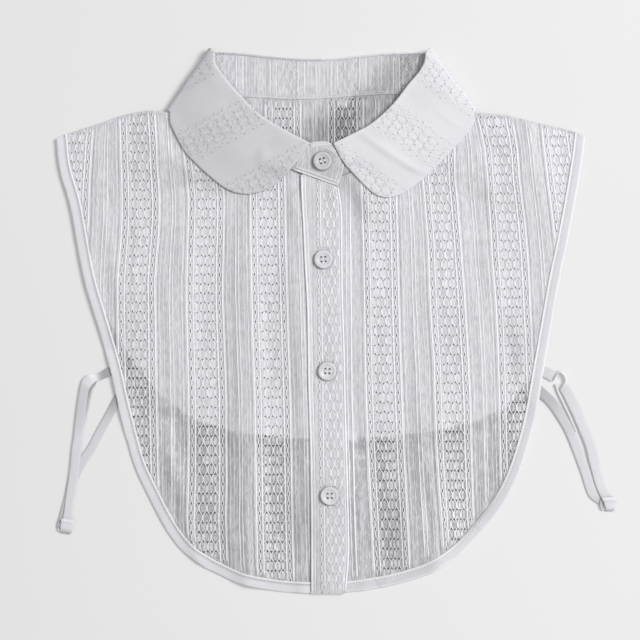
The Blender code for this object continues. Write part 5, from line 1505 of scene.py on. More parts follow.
def threads_of(name, warp, outline, anchor, above, below, k_list, t_from, t_to, hide, mat=YARN, margin=0.9):
    bag = Bag()

    def to_plan(s, t):
        down = down_of(t, anchor, above, below)
        return np.stack([warp(s, down), down], axis=-1)

    def keep(p):
        return (signed(p, outline) > margin) & ~hide(p)

    # the yarns take half of tone_at's painted shade
    lattice(bag, to_plan, yarn_top, keep, k_list, t_from, t_to, 0.0, PARITY, tone=lambda p: 0.5 + 0.5 * tone_at(p))
    return bag.make(name, mat)


yarn_over = threads_of("front_over_yarns", WARP_OVER, outline_over, ANCHOR_OVER, ABOVE_OVER, BELOW_OVER, range(0, 4),
                       -170.0, 150.0, lambda p: (signed(p, fall_zone_over) > 4.0) | (signed(p, placket_zone) > 3.0))
yarn_under = threads_of("front_under_yarns", WARP_UNDER, outline_under, ANCHOR_UNDER, ABOVE_UNDER, BELOW_UNDER, range(0, 4),
                        -180.0, 135.0, lambda p: (signed(p, fall_zone_under) > 4.0) | (signed(p, placket_zone) > 3.0))

# ---------------------------------------------------------------- placket
top = seam_over.between(seam_over.share_at(across=-11.8), 0.0).side(-GAP)
left_rows = placket_sewn.pts[placket_sewn.pts[:, 1] > top(0.0)[1] + 0.5]
right_rows = placket_folded.pts[placket_folded.pts[:, 1] > top(1.0)[1] + 0.5]
placket_outline_full = polygon(top(np.linspace(0, 1, 30)), right_rows, left_rows[::-1])


def placket_lift(p):
    """The band lies close on the fronts, and climbs over the binding at the hem and under the stand at the neck."""
    return PLACKET_LIFT - 0.7 * step((p[..., 1] - 84.0) / 12.0) * step((318.0 - p[..., 1]) / 14.0)


placket_low = lambda p: front_form(p) + placket_lift(p) + 0.2
placket_top = lambda p: placket_low(p) + 0.5


def build_placket():
    lines = np.arange(-30.0, 22.0, 1.3)
    rows = np.arange(70.0, 345.0, 2.0)
    S, T = np.meshgrid(lines, rows, indexing="ij")
    P = np.stack([WARP_PLACKET(S, T), T], axis=-1)
    sd = signed(P, placket_outline_full)
    cloth = np.stack([S, T - PHASE_PLACKET, np.ones_like(S)], axis=-1)
    return clipped_shell("placket_cloth", P, sd, np.zeros((len(lines) - 1, len(rows) - 1), bool), placket_low, 0.5, COTTON_BAND, cloth)


placket = build_placket()
bag = Bag()


def on_placket(s, t):
    return np.stack([WARP_PLACKET(s, t), t], axis=-1)


def keep_placket(p):
    ok = signed(p, placket_outline_full) > 0.9
    for _, x, y, _ in BUTTONS[1:]:
        ok &= np.hypot(p[..., 0] - x, p[..., 1] - y) > 4.5
        ok &= ~((np.abs(p[..., 0] - x) < 1.5) & (np.abs(p[..., 1] - y) < 8.0))
    return ok & (signed(p, placket_outline_full) > 2.4)


lattice(bag, on_placket, placket_top, keep_placket, [0], 60.0, 345.0, PHASE_PLACKET, 1, pair=False, cords=False, size=0.95,
        lift=0.0)
for off, r, lift, flat in ((0.62, 0.56, -0.10, 0.8), (2.6, 0.25, -0.02, 0.6)):
    line = placket_sewn.side(off)
    p = line(np.linspace(0.0, 1.0, 160))[:, :2]
    p = p[signed(p, placket_outline_full) > 0.3]
    tube(bag, np.column_stack([p, placket_top(p) + lift]), r + 0.05 * noise1(p[:, 1] * 0.2, off), 7, flat,
         np.column_stack([np.full(len(p), 3.0), p[:, 1], np.full(len(p), 1.04)]))
for off, r, lift, flat in ((-0.62, 0.60, -0.02, 0.8), (-2.0, 0.22, -0.02, 0.6)):
    line = placket_folded.side(off)
    p = line(np.linspace(0.0, 1.0, 160))[:, :2]
    p = p[signed(p, placket_outline_full) > 0.3]
    tube(bag, np.column_stack([p, placket_top(p) + lift]), r + 0.05 * noise1(p[:, 1] * 0.2, off), 7, flat,
         np.column_stack([np.full(len(p), 3.0), p[:, 1], np.full(len(p), 1.04)]))
p = placket_sewn.side(-0.42)(np.linspace(0.0, 1.0, 200))[:, :2]
p = p[(p[:, 1] > 225.0) & (signed(p, outline_over) > 7.2)]
tube(bag, np.column_stack([p, yarn_top(p) + 0.34]), 0.44 * step((p[:, 1] - 224.0) / 14.0) + 0.04, 7, 1.0,
     np.column_stack([np.full(len(p), 3.0), p[:, 1], np.full(len(p), 1.04)]))
# the loose edge of one oval, just under the tab
q = (np.array([(335.0, 187.0), (333.4, 190.4), (332.8, 193.6), (334.4, 196.4), (336.8, 198.6), (337.6, 201.2), (339.2, 204.0)]) - (320.5, 48.0)) * 0.61
u = np.linspace(0, 6, 31)
p = np.column_stack([np.interp(u, np.arange(7), q[:, 0]), np.interp(u, np.arange(7), q[:, 1])])
tube(bag, np.column_stack([p, placket_top(p) + 0.12]), 0.30, 7, 0.8,
     np.column_stack([np.full(len(p), 3.0), p[:, 1], np.full(len(p), 1.05)]))
placket_yarns = bag.make("placket_yarns", YARN)

# the under front's own folded edge shows as a ridge beside the band
bag = Bag()
rows = np.array(mm([(176, 349.5), (200, 350.0), (260, 350.4), (390, 351.6), (530, 355.0), (580, 357.0)]))
y = np.linspace(rows[0, 0], rows[-1, 0], 150)
for dx, r in ((0.0, 0.55), (-2.6, 0.35)):
    p = np.column_stack([np.interp(y, rows[:, 0], rows[:, 1]) + dx + 0.12 * noise1(y * 0.1, 3.0 + dx), y])
    p = p[(signed(p, outline_under) > 0.9) & (signed(p, placket_zone) < -0.7)]
    for a, b in runs(np.ones(len(p), bool), 3):
        tube(bag, np.column_stack([p, yarn_top(p)]), r + 0.06 * noise1(p[:, 1] * 0.3, 1.0), 6, 0.55,
             np.column_stack([np.full(len(p), 3.0), p[:, 1], np.ones(len(p))]))
facing_ridge = bag.make("front_under_ridge", YARN)

# ---------------------------------------------------------------- back panel
WARP_BACK = Warp([
    [(0.0, -22.9 - 38.1 - 10.5, -22.9 - 38.1 + 10.5), (60.0, -22.9 - 38.1 - 10.5, -22.9 - 38.1 + 10.5)],
    [(0.0, -33.4, -12.4), (60.0, -33.4, -12.4)],
    [(0.0, 4.8, 25.8), (60.0, 4.8, 25.8)],
    [(0.0, 42.9, 63.9), (60.0, 42.9, 63.9)],
])
back_top = lambda p: back_field(p) + 0.2 + 0.45
inner_back = back_edge.side(BINDING_WIDTH - 0.5)
neck_pts = seam_back.between(0.0, 1.0).pts + (0, GAP + 0.05)
a = shoulder_over(np.linspace(0, 1 - 8.0 / shoulder_over.length, 50))
b = shoulder_under(np.linspace(0, 1 - 8.0 / shoulder_under.length, 50))
i0 = np.linalg.norm(inner_back.pts - a[-1], axis=1).argmin() + 1
i1 = np.linalg.norm(inner_back.pts - b[-1], axis=1).argmin()
outline_back = polygon(a[::-1], neck_pts[1:-1], b, inner_back.pts[i0:i1][::-1])


def build_back():
    lines = lace_lines(0, 3, 0.9, 1.0)
    lines = np.concatenate([np.arange(lines[0] - 120, lines[0] - 1.0, 4.0), lines, np.arange(lines[-1] + 3.0, lines[-1] + 130, 4.0)])
    rows, n0 = row_lines(26.0, 70.0, 31.5)
    rows = np.concatenate([np.arange(20.0, rows[0] - 1.0, 4.0), rows, np.arange(rows[-1] + 3.0, 245.0, 4.0)])
    k = int(np.argmin(np.abs(rows - (31.5 + n0 * ROW - 0.56))))
    S, T = np.meshgrid(lines, rows, indexing="ij")
    P = np.stack([WARP_BACK(S, T), T], axis=-1)
    sd = signed(P, outline_back)
    mid_s = (lines[1:] + lines[:-1]) / 2
    width = np.diff(lines)
    open_s = np.zeros(len(mid_s), bool)
    for kk in range(0, 4):
        local = mid_s - kk * PITCH
        for j in range(-2, 3):
            open_s |= (np.abs(local - j * OVAL) < 0.3) & (width < 1.2)
    height = np.diff(rows)
    open_t = (height < 1.3) & (rows[:-1] < 66.0)
    mid = (sd[:-1, :-1] + sd[1:, 1:]) / 2
    holes = open_s[:, None] & open_t[None] & (mid > 1.5)
    cloth = np.stack([S, T - 31.5, neck_tone(P)], axis=-1)
    return clipped_shell("back_panel_cloth", P, sd, holes, lambda p: back_field(p) + 0.2, 0.45, COTTON_BACK, cloth)


back = build_back()
bag = Bag()
neck_view = polygon(seam_back(dense), [(74.0, 45.0), (60.0, 55.0), (40.0, 66.0), (0.0, 72.0), (-40.0, 66.0), (-60.0, 52.0)])
lattice(bag, lambda s, t: np.stack([WARP_BACK(s, t), t], axis=-1), back_top,
        lambda p: (signed(p, neck_view) > 0.4) & (signed(p, outline_back) > 1.0), range(0, 4), 26.0, 74.0, 31.5, PARITY, size=0.85,
        tone=neck_tone)
back_yarns = bag.make("back_panel_yarns", YARN)

# ---------------------------------------------------------------- bindings
def binding(name, edge, turn, level, proud, mat, seams=(), tone=1.0, n=420, body=0.985, slant=0.0, groove=1.0):
    u = np.linspace(0, 1, n)
    run = u * edge.length
    w_profile = np.array([0.0, 0.18, 0.75, 1.7, 2.9, 4.1, 4.85, 5.1, 5.35, 5.75, 6.0, 6.2, 6.5, 6.75, 6.9])
    top_profile = np.array([0.55, 0.95, 1.2, 1.25, 1.24, 1.22, 1.18, 1.02, 1.16, 1.36, 1.44, 1.48, 1.46, 1.22, 0.62]) * (CLOTH + proud) / 1.25
    # tone across the tape: painted highlight on the outer roll and on the raised ridge near the inner edge, painted
    # shade in the groove before the ridge and at the inner rim
    w_tone = np.array([1.02, 1.06, 1.05, 1.0, 1.0, 0.98, 0.96, 0.78, 0.94, 1.05, 1.08, 1.12, 1.13, 1.10, 0.86])
    low_w = np.array([6.8, 5.0, 2.5, 0.5, 0.06])
    low_profile = np.array([0.25, 0.12, 0.06, 0.12, 0.3])
    inner = edge.side(turn * BINDING_WIDTH)
    A, B = edge(u), inner(u)
    # the tape's tone along its run: darker towards the hem, a little uneven, and lighter about 88 mm across low on the
    # right
    fade = tone * (1 - 0.055 * step((A[:, 1] - 230.0) / 70.0)) * (1 + 0.02 * noise1(run * 0.07, 5.0))
    fade = fade * (1 + 0.10 * np.exp(-((A[:, 0] - 88.0) / 15.0) ** 2) * (A[:, 1] > 250.0))
    wob = 0.10 * noise1(run * 0.11, len(name)) + 0.05 * noise1(run * 0.6, 2.0)
    # along this stretch the seam lies in a hollow, lower in the mesh, and painted shade darkens it to a dark line
    hollow = np.exp(-((A[:, 0] - 100.0) / 15.0) ** 2) * (A[:, 1] > 250.0)
    rings = []
    tones = []
    # the end at the shoulder is cut along the shoulder's slope
    first = A[0, 1] < A[-1, 1]
    way = A[0] - A[3] if first else A[-1] - A[-4]
    way = way / np.linalg.norm(way) * slant
    reach = np.exp(-((run if first else edge.length - run) / 5.0) ** 2)[:, None]
    for w, h, wt in zip(w_profile, top_profile, w_tone):
        share = w / BINDING_WIDTH
        p = A + (B - A) * share + way * share * reach
        if 0.0 <= w < 0.5:
            p = p + (A - B) / BINDING_WIDTH * (wob[:, None] * 0.8)
        z = level(p) + h * (groove if 5.0 < w < 5.5 else 1.0) * (1 - 0.28 * hollow * (w > 5.6)) + 0.05 * noise1(run * 0.25 + w * 0.4, 4.0) * (h > 1.0)
        for s0 in seams:
            z = z + 0.22 * np.exp(-((run - s0 - (w - 3.4) * 0.5) / 0.9) ** 2) - 0.16 * np.exp(-((run - s0 - 1.9 - (w - 3.4) * 0.5) / 0.5) ** 2)
        rings.append(np.column_stack([p, z]))
        tones.append(fade * wt * (body if 0.9 < w < 5.5 else 1.0) * (groove if 4.8 < w < 5.5 else 1.0) * (1 - 0.34 * hollow * (w > 5.6)))
    for w, h in zip(low_w, low_profile):
        p = A + (B - A) * (w / BINDING_WIDTH) + way * (w / BINDING_WIDTH) * reach
        rings.append(np.column_stack([p, level(p) + h]))
        tones.append(np.full(n, tone * 0.92))
    sections = np.stack(rings, axis=1)
    if turn < 0:
        sections = sections[:, ::-1]
    k = sections.shape[1]
    w_all = np.concatenate([w_profile, low_w])
    t_all = np.stack(tones, axis=1)
    if turn < 0:
        w_all = w_all[::-1]
        t_all = t_all[:, ::-1]
    cloth = np.stack([np.broadcast_to(w_all, (n, k)), np.broadcast_to(run[:, None], (n, k)), t_all], axis=-1).reshape(-1, 3)
    return sweep(name, sections[:, ::-1], mat, np.stack([np.broadcast_to(w_all[::-1], (n, k)), np.broadcast_to(run[:, None], (n, k)),
                                                         t_all[:, ::-1]], axis=-1).reshape(-1, 3))


def share_mm(curve, across, down):
    return curve.run[int(np.argmin(np.hypot(curve.pts[:, 0] - across, curve.pts[:, 1] - down)))]


bind_over = binding("binding_front_over_tape", edge_over, 1, front_form, BINDING_PROUD, TAPE,
                    seams=(share_mm(edge_over, -73.0, 315.0),), slant=2.6, groove=0.80)
bind_under = binding("binding_front_under_tape", edge_under, -1, front_form, BINDING_PROUD, TAPE,
                     seams=(share_mm(edge_under, 98.0, 296.0), share_mm(edge_under, 36.3, 328.0)), body=0.89, slant=2.6)
bind_back = binding("binding_back_tape", back_edge, 1, back_field, 0.0, TAPE)

bag = Bag()
for edge, turn, rise, tone in ((edge_over, 1, 0.94, 0.93), (edge_under, -1, 1.12, 1.03)):
    line = edge.side(turn * 5.1)
    stitches(bag, line, lambda p: front_form(p) + rise, length=1.2, gap=0.75, radius=0.22, tone=tone)
# a thin dark cord along the under tape's inner edge, low on the right: painted shadow of the gap between tape and cloth
p = edge_under.side(-6.85)(np.linspace(0.0, 1.0, 700))[:, :2]
p = p[(p[:, 1] > 250.0) & (p[:, 0] > 74.0) & (p[:, 0] < 124.0)]
tube(bag, np.column_stack([p, front_form(p) + 0.98]), 0.04 + 0.27 * np.exp(-((p[:, 0] - 100.0) / 13.0) ** 2), 6, 0.8,
     np.column_stack([np.zeros(len(p)), p[:, 1], np.full(len(p), 0.60)]))
binding_stitches = bag.make("binding_stitches", STITCH)

# ---------------------------------------------------------------- collar: stand and fall
middle = ring_surface("stand")
half = np.full(middle.shape[:2], COLLAR_CLOTH / 2 - 0.05)
half[:, 0] = half[:, -1] = 0.28
half[:, 1] = half[:, -2] = 0.5
half[0] = np.minimum(half[0], 0.28)
half[-1] = np.minimum(half[-1], 0.28)
half[1] = np.minimum(half[1], 0.5)
local = (middle[..., 0] - STAND_FIRST) * PITCH / STAND_PITCH
is_back = middle[..., 1] < 33.0
cloth = np.stack([local, middle[..., 1], np.where(is_back, neck_tone(middle), 1.0)], axis=-1)
stand = round_skin("collar_stand_cloth", middle, half, STAND, cloth)

middle = ring_surface("fall")
n, m = middle.shape[:2]
half = np.full((n, m), COLLAR_CLOTH / 2)
rim = np.array([0.97, 0.93, 0.80, 0.55, 0.25])
half[:, -5:] *= rim
hem = np.clip((np.arange(m) - (m - 8)) / 7.0, 0, 1) ** 1.2
half *= 1 - 0.16 * hem
middle[..., 2] -= 0.17 * hem
half[:, :3] *= np.array([0.4, 0.7, 0.9])
for k, f in enumerate((0.25, 0.55, 0.80, 0.93, 0.98)):
    half[k] = np.minimum(half[k], COLLAR_CLOTH / 2 * f)
    half[-1 - k] = np.minimum(half[-1 - k], COLLAR_CLOTH / 2 * f)


def band_place(p, band, origin_px):
    """Place across the bands, and along them, for a plan point on a fall."""
    run = np.array(band["run"])
    nrm = np.array([-run[1], run[0]])
    px = p / 0.61 + origin_px
    return (px @ nrm) * 0.61, (px @ run) * 0.61


ORIGIN = np.array([320.5, 48.0])
so, to = band_place(middle[..., :2], BAND_OVER, ORIGIN)
su, tu = band_place(middle[..., :2], BAND_UNDER, ORIGIN)
P_OVER = (BAND_OVER["off"][1] - BAND_OVER["off"][0]) * 0.61
P_UNDER = (BAND_UNDER["off"][1] - BAND_UNDER["off"][0]) * 0.61
lo = (so - BAND_OVER["off"][0] * 0.61) * PITCH / P_OVER
lu = (su - BAND_UNDER["off"][0] * 0.61) * PITCH / P_UNDER
left_side = middle[..., 0] < 0
local = np.where(left_side, lo, lu)
along_t = np.where(left_side, to, tu)
cloth = np.stack([local, along_t, np.ones_like(local)], axis=-1)
fall = round_skin("collar_fall_cloth", middle, half, COLLAR, cloth)

# threads that stand slightly proud on the falls: dropped onto the fall's own surface
tree = BVHTree.FromPolygons([v.co.copy() for v in fall.data.vertices], [tuple(p.vertices) for p in fall.data.polygons])


def fall_height_at(p):
    q = place(np.column_stack([p, np.zeros(len(p))]))
    out = np.full(len(p), np.nan)
    for i, (x, y, _) in enumerate(q):
        hit = tree.ray_cast((x, y, 0.05), (0, 0, -1))
        if hit[0] is not None:
            out[i] = hit[0].z * 1000
    return out


def on_band(band):
    run = np.array(band["run"])
    nrm = np.array([-run[1], run[0]])
    pitch = (band["off"][1] - band["off"][0]) * 0.61
    first = band["off"][0] * 0.61

    def to_plan(s, t):
        a = first + s * pitch / PITCH
        p = (nrm[None] * a[..., None] + run[None] * np.asarray(t)[..., None]) / 0.61
        return (p - ORIGIN) * 0.61

    return to_plan


bag = Bag()
# the net's yarns on the left fall are a little darker: painted shade, as on its cloth
for band, zone, side in ((BAND_OVER, fall_zone_over, -1), (BAND_UNDER, fall_zone_under, 1)):
    lattice(bag, on_band(band), lambda p: np.nan_to_num(fall_height_at(p), nan=-5.0), lambda p: signed(p, zone) > 0.9,
            range(0, 3), -260.0, 260.0, 0.0, PARITY, size=0.72, lift=-0.04, sides=4, cords=False, ridges=False, pair=False,
            chains=False, tone=(lambda p, v=(0.98 if side < 0 else 1.0): np.full(len(p), v)))
    to_plan = on_band(band)
    for k in range(0, 3):
        for n in range(-45, 46):
            for j in range(-5, 6):
                seed = 37.0 * k + 11.3 * n + 5.7 * j
                wander = np.array([math.sin(seed * 1.7), math.sin(seed * 2.9 + 1.0), math.sin(seed * 4.3 + 2.0)])
                s0 = k * PITCH + j * OVAL * 0.86 + 0.45 * wander[0]
                t0 = (n + 0.5 * (j % 2)) * ROW * 0.98 + 0.6 * wander[1]
                lean = 0.9 if (j + n) % 2 else -0.9
                reach = 0.55 + 0.25 * wander[2]
                u = np.array([-1.0, -0.4, 0.4, 1.0]) * reach
                p = to_plan(s0 + u * lean, t0 + u * 1.2)
                if (signed(p, zone) < 1.0).any():
                    continue
                z = fall_height_at(p)
                if np.isnan(z).any():
                    continue
                tube(bag, np.column_stack([p, z + np.array([-0.10, 0.12, 0.12, -0.10])]), 0.27 * np.array([0.5, 1, 1, 0.5]), 4, 0.9,
                     np.column_stack([np.zeros(4), u, np.full(4, 1.05 + 0.09 * wander[0])]))
collar_yarns = bag.make("collar_fall_yarns", YARN_COLLAR)

# threads on the inside of the stand, above the neck seam
bag = Bag()
stand_zone = polygon(fold_back(dense) + (0, 0.6), seam_back(1 - dense) - (0, 0.9))


def on_stand(s, t):
    return np.stack([STAND_FIRST + s * STAND_PITCH / PITCH, t], axis=-1)


stand_top = BACK_STAND_Z + COLLAR_CLOTH / 2 - 0.05
lattice(bag, on_stand, lambda p: np.full(len(p), stand_top), lambda p: signed(p, stand_zone) > 0.5, range(0, 4), -6.0, 36.0, 3.0,
        PARITY, size=0.62, lift=0.0, tone=lambda p: 0.97 * neck_tone(p))
seam_line = seam_back.between(0.02, 0.98)
p = seam_line.side(0.75)(np.linspace(0, 1, 220))
tube(bag, np.column_stack([p, np.full(len(p), stand_top - 0.14)]), 0.20, 6, 0.9, np.column_stack([np.zeros(220), p[:, 0], 0.88 * neck_tone(p)]))
# the roll below the seam is darker: painted shade under the stand's edge
p = seam_line.side(-0.55)(np.linspace(0, 1, 220))
tube(bag, np.column_stack([p, np.full(len(p), stand_top - 1.15)]), 0.58, 7, 1.0,
     np.column_stack([np.zeros(220), p[:, 0], 0.84 * neck_tone(p)]))
stand_yarns = bag.make("collar_stand_yarns", YARN)
bag = Bag()
stitches(bag, seam_line.side(1.9), lambda p: np.full(len(p), stand_top), length=1.9, gap=0.7, radius=0.17)
stand_tree = BVHTree.FromPolygons([v.co.copy() for v in stand.data.vertices], [tuple(q.vertices) for q in stand.data.polygons])


def on_tree(tree, p, otherwise):
    q = place(np.column_stack([p, np.zeros(len(p))]))
    out = np.full(len(p), float(otherwise))
    for i, (x, y, _) in enumerate(q):
        hit = tree.ray_cast((x, y, 0.05), (0, 0, -1))
        if hit[0] is not None:
            out[i] = hit[0].z * 1000
    return out


def drawn(rows):
    """A curve through places in the drawing's units."""
    return Curve([((x - 320.5) * 0.61, (y - 48) * 0.61) for x, y in rows])


def tab_height(p):
    return on_tree(stand_tree, p, 3.4)


def cord(bag, line, radius, lift, tone, n=60, flat=0.8, seed=1.0):
    p = line(np.linspace(0, 1, n))[:, :2]
    z = tab_height(p)
    z = np.convolve(np.pad(z, 2, mode="edge"), np.ones(5) / 5, mode="valid") + lift
    tube(bag, np.column_stack([p, z]), radius * (1 + 0.12 * noise1(np.arange(n) * 0.5, seed)), 7, flat,
         np.column_stack([np.full(n, 3.0), np.linspace(0, line.length, n), np.full(n, tone)]))


TAB_RIM = drawn([(342.3, 157.5), (342.8, 163), (342.3, 170), (340.4, 177), (337.6, 184.6)])
TAB_FOOT = drawn([(337.2, 185.2), (330, 183.0), (318, 178.6), (306, 174.4), (294.5, 170.2)])
for line, r, lift, tone_of in ((TAB_RIM, 0.62, -0.16, 0.93), (TAB_FOOT, 0.62, -0.16, 0.90)):
    cord(bag, line, r, lift, tone_of)
# inside each rim, a dark cord is painted shade in the stitching's groove, beside the stitches and a light cord
for line, d in ((TAB_RIM, -1), (TAB_FOOT, -1)):
    cord(bag, line.side(d * 1.30), 0.30, -0.02, 0.66)
    stitches(bag, line.side(d * 1.36), tab_height, length=1.1, gap=0.75, radius=0.24, tone=0.98, sink=0.16)
    cord(bag, line.side(d * 2.15), 0.22, 0.02, 1.06)
# the other end of the stand shows above it as a soft rolled edge; its darker rolls are painted shade between the folds
BEHIND = ((309.5, 144.6), (314, 143.4), (321, 142.6), (327.5, 143.2), (332.0, 146.0), (335.4, 148.6))
BEFORE = ((310.5, 147.8), (316, 147.4), (322.5, 148.2), (328, 150.6), (334.0, 154.6), (337.0, 157.6))
for share, radius, up, tone_of in ((0.0, 0.55, 3.7, 0.90), (0.22, 0.62, 3.85, 0.74), (0.42, 0.66, 4.1, 0.86), (0.66, 0.62, 4.2, 0.72),
                                   (0.88, 0.60, 4.5, 0.82)):
    rows = [(a[0] + (b[0] - a[0]) * share, a[1] + (b[1] - a[1]) * share) for a, b in zip(BEHIND, BEFORE)]
    p = drawn(rows)(np.linspace(0, 1, 30))[:, :2]
    z = np.maximum(up, tab_height(p) + 0.05 * share)
    z = np.convolve(np.pad(z, 3, mode="edge"), np.ones(7) / 7, mode="valid")
    tube(bag, np.column_stack([p, z]), radius * (1 + 0.12 * noise1(np.arange(30) * 0.5, share * 9)), 7, 0.8,
         np.column_stack([np.full(30, 3.0), np.arange(30) * 0.5, np.full(30, tone_of)]))
collar_stitches = bag.make("collar_stitches", STITCH)

# ---------------------------------------------------------------- shoulder seams: the rolled edge that joins front and back
bag = Bag()
s_grid = np.linspace(-130.0, 130.0, 521)
for c, warp in ((shoulder_over, WARP_OVER), (shoulder_under, WARP_UNDER)):
    u = np.linspace(0.0, 1.0 - 6.6 / c.length, 120)
    p = c(u)[:, :2]
    z = (front_form(p) + back_field(p)) / 2 + 0.75
    s = np.array([np.interp(q[0], warp(s_grid, np.full(521, q[1])), s_grid) for q in p])
    tube(bag, np.column_stack([p + (0, 0.55), z]), 0.95 + 0.10 * noise1(u * 90, 3.0), 10, 1.0,
         np.column_stack([s, np.full(120, 3.2), np.ones(120)]))
shoulder_rolls = bag.make("shoulder_seams", COTTON_BAND)


# ---------------------------------------------------------------- straps
# Each run of the tape is a table: its two edges in the drawing's units, the height of each edge in mm, and a tone:
# painted shade where a run lies near the body and painted highlight on the turns.
STRAP_RUNS_OVER = (
    (   # from below the front's edge out to the side, turned over once, and down to the loop
        (119, 361.5, 127.5, 370.5, 0.35, 0.35, 0.55), (110.5, 366.3, 111.5, 376, 0.35, 0.35, 0.57),
        (104.5, 369.3, 105.5, 378, 0.4, 0.5, 0.55), (99.3, 372.6, 100.5, 380.3, 0.5, 0.7, 0.72),
        (94, 373.6, 97.4, 382.6, 1.2, 0.8, 1.12), (88.5, 374.8, 94.2, 385, 2.3, 0.9, 1.12), (83.2, 379.2, 91.6, 386.4, 1.4, 1.1, 1.08),
        (80.4, 386.5, 90, 389.5, 1.0, 1.2, 0.90), (78.6, 397, 88, 398.8, 1.0, 1.15, 0.88), (77, 408, 86.4, 409.2, 1.0, 1.1, 0.87),
        (75.4, 421, 84.6, 422.2, 1.0, 1.1, 0.90), (74, 435, 83.2, 436.2, 1.0, 1.1, 0.98), (72, 449, 81.6, 450.4, 1.05, 1.3, 1.0),
        (70.2, 469, 79.2, 470.5, 1.1, 1.35, 1.0), (67, 490, 76, 492, 1.1, 1.35, 1.0), (65, 505, 74, 506.5, 1.15, 1.35, 1.02),
        (63.8, 514, 73.4, 515.6, 1.2, 1.35, 1.0), (63.0, 517.6, 73.6, 519.2, 1.5, 1.6, 0.9), (61.6, 519.2, 74.2, 521.4, 2.5, 2.5, 1.14),
        (61.6, 522.4, 74.4, 524.2, 2.2, 2.2, 1.04), (60.8, 526.5, 73.2, 528.6, 2.2, 2.2, 1.02),
        (60.6, 530.2, 71.8, 532.2, 1.6, 1.6, 0.84), (61.4, 532.2, 70.6, 533.8, 0.5, 0.5, 0.7)),
    (   # and back below it, up to the back panel's edge
        (57.2, 527.8, 67.5, 531.2, 0.3, 0.3, 0.75), (56.6, 524.8, 66.8, 526.8, 0.3, 0.3, 0.75), (59.6, 515, 69.6, 517.5, 0.3, 0.3, 0.78),
        (64.6, 496, 73.6, 500.5, 0.3, 0.3, 0.86), (68.8, 476, 77, 484.5, 0.3, 0.35, 0.92), (73.4, 465.5, 81, 473.8, 0.3, 0.4, 0.94),
        (80.2, 456.8, 87.6, 462.4, 0.35, 0.5, 0.95), (87.8, 446.2, 95, 451, 0.4, 0.6, 0.95), (96.6, 429.8, 103.8, 434, 0.4, 0.6, 0.94),
        (105.8, 413, 112.6, 417.6, 0.4, 0.6, 0.84), (113, 399, 120.4, 402.6, 0.35, 0.5, 0.58), (121.5, 380.5, 130.6, 384, 0.3, 0.4, 0.5)),
    (   # the tape's far edge, seen beside the turn
        (98.2, 379.6, 96.2, 382.0, 0.35, 2.2, 0.6), (95.4, 384.4, 92.2, 386.8, 0.35, 2.4, 0.6), (92.4, 389.6, 89.8, 391.4, 0.35, 2.1, 0.6),
        (90.4, 398, 88.2, 399.0, 0.3, 1.6, 0.66), (88.6, 408, 86.6, 409, 0.3, 1.2, 0.72), (86.2, 418, 84.6, 418.6, 0.3, 1.0, 0.8),
        (84.6, 427, 83.4, 427.4, 0.3, 0.9, 0.85)))
STRAP_RUNS_UNDER = (
    (
        (534, 362.6, 530.5, 372.6, 0.35, 0.35, 0.9), (545, 366.6, 542.6, 377, 0.35, 0.35, 0.9), (550, 368.6, 547.6, 379.6, 0.45, 0.4, 0.92),
        (554.6, 370.4, 552.0, 381.6, 0.6, 0.6, 1.0), (557.6, 370.6, 554.4, 378.6, 1.0, 2.4, 1.16), (560.0, 370.4, 558.4, 372.4, 0.9, 3.0, 1.18),
        (563.2, 372.0, 561.8, 373.4, 0.9, 3.1, 1.18), (565.8, 375.4, 564.1, 376.2, 0.9, 3.0, 1.18), (567.2, 380.0, 565.2, 380.4, 0.9, 2.7, 1.18),
        (568.2, 384.0, 562.0, 385.6, 0.9, 2.2, 0.96), (569.4, 387.6, 559.8, 389.8, 1.1, 1.7, 0.90),
        (573.8, 393.8, 563.4, 396.6, 1.1, 1.2, 0.96), (582, 411, 571.6, 413.4, 1.1, 1.1, 1.0), (588.6, 427.6, 578.8, 430, 1.1, 1.1, 1.0),
        (595.2, 444, 585.3, 446.4, 1.1, 1.2, 1.0), (599.4, 462.3, 589.8, 464.8, 1.1, 1.3, 1.0), (604.3, 482, 595.2, 484.5, 1.1, 1.35, 1.0),
        (609.2, 493.8, 599.6, 495.2, 1.2, 1.4, 0.94), (612.0, 496.2, 600.6, 496.8, 1.7, 1.7, 0.86), (615.0, 498.0, 601.4, 498.6, 2.6, 2.6, 1.16),
        (615.6, 501.4, 603.0, 501.4, 2.3, 2.3, 0.98), (615.0, 505.0, 604.4, 505.0, 2.3, 2.3, 1.08), (614.6, 508.6, 605.2, 508.6, 1.7, 1.7, 1.0),
        (613.6, 510.6, 605.4, 510.6, 0.6, 0.6, 0.75)),
    (
        (612.8, 507.4, 602.2, 509.4, 0.3, 0.3, 0.75), (609.6, 501, 599.0, 504.4, 0.3, 0.3, 0.8), (597.6, 492, 588.6, 495.6, 0.3, 0.3, 0.96),
        (588.6, 466.4, 580.6, 472.2, 0.3, 0.35, 0.96), (579.2, 442.4, 571.8, 448.6, 0.3, 0.4, 0.95), (571.6, 424.6, 564.4, 431, 0.4, 0.5, 0.86),
        (563.2, 410.6, 556.4, 417.4, 0.4, 0.6, 0.84), (554.8, 398.4, 548.4, 406, 0.4, 0.6, 0.72), (543.6, 387.8, 539, 397, 0.35, 0.5, 0.66),
        (531, 374.6, 525.4, 383.6, 0.3, 0.35, 0.62)),
    (   # the tape's far edge, seen inside the turn
        (556.4, 383.4, 554.4, 384.2, 0.3, 1.2, 0.95), (560.2, 393.4, 558.0, 394.6, 0.3, 0.9, 0.95), (569.0, 412, 566.9, 413, 0.3, 0.7, 0.95),
        (577.2, 431, 575.3, 431.8, 0.3, 0.7, 0.95)))
# the open end of each loop's turn: middle, half width, half length, and the way it leans
STRAP_EYES = ((602.2, 504.6, 1.9, 5.2, -8.0), (61.0, 526.2, 1.6, 4.8, 22.0))


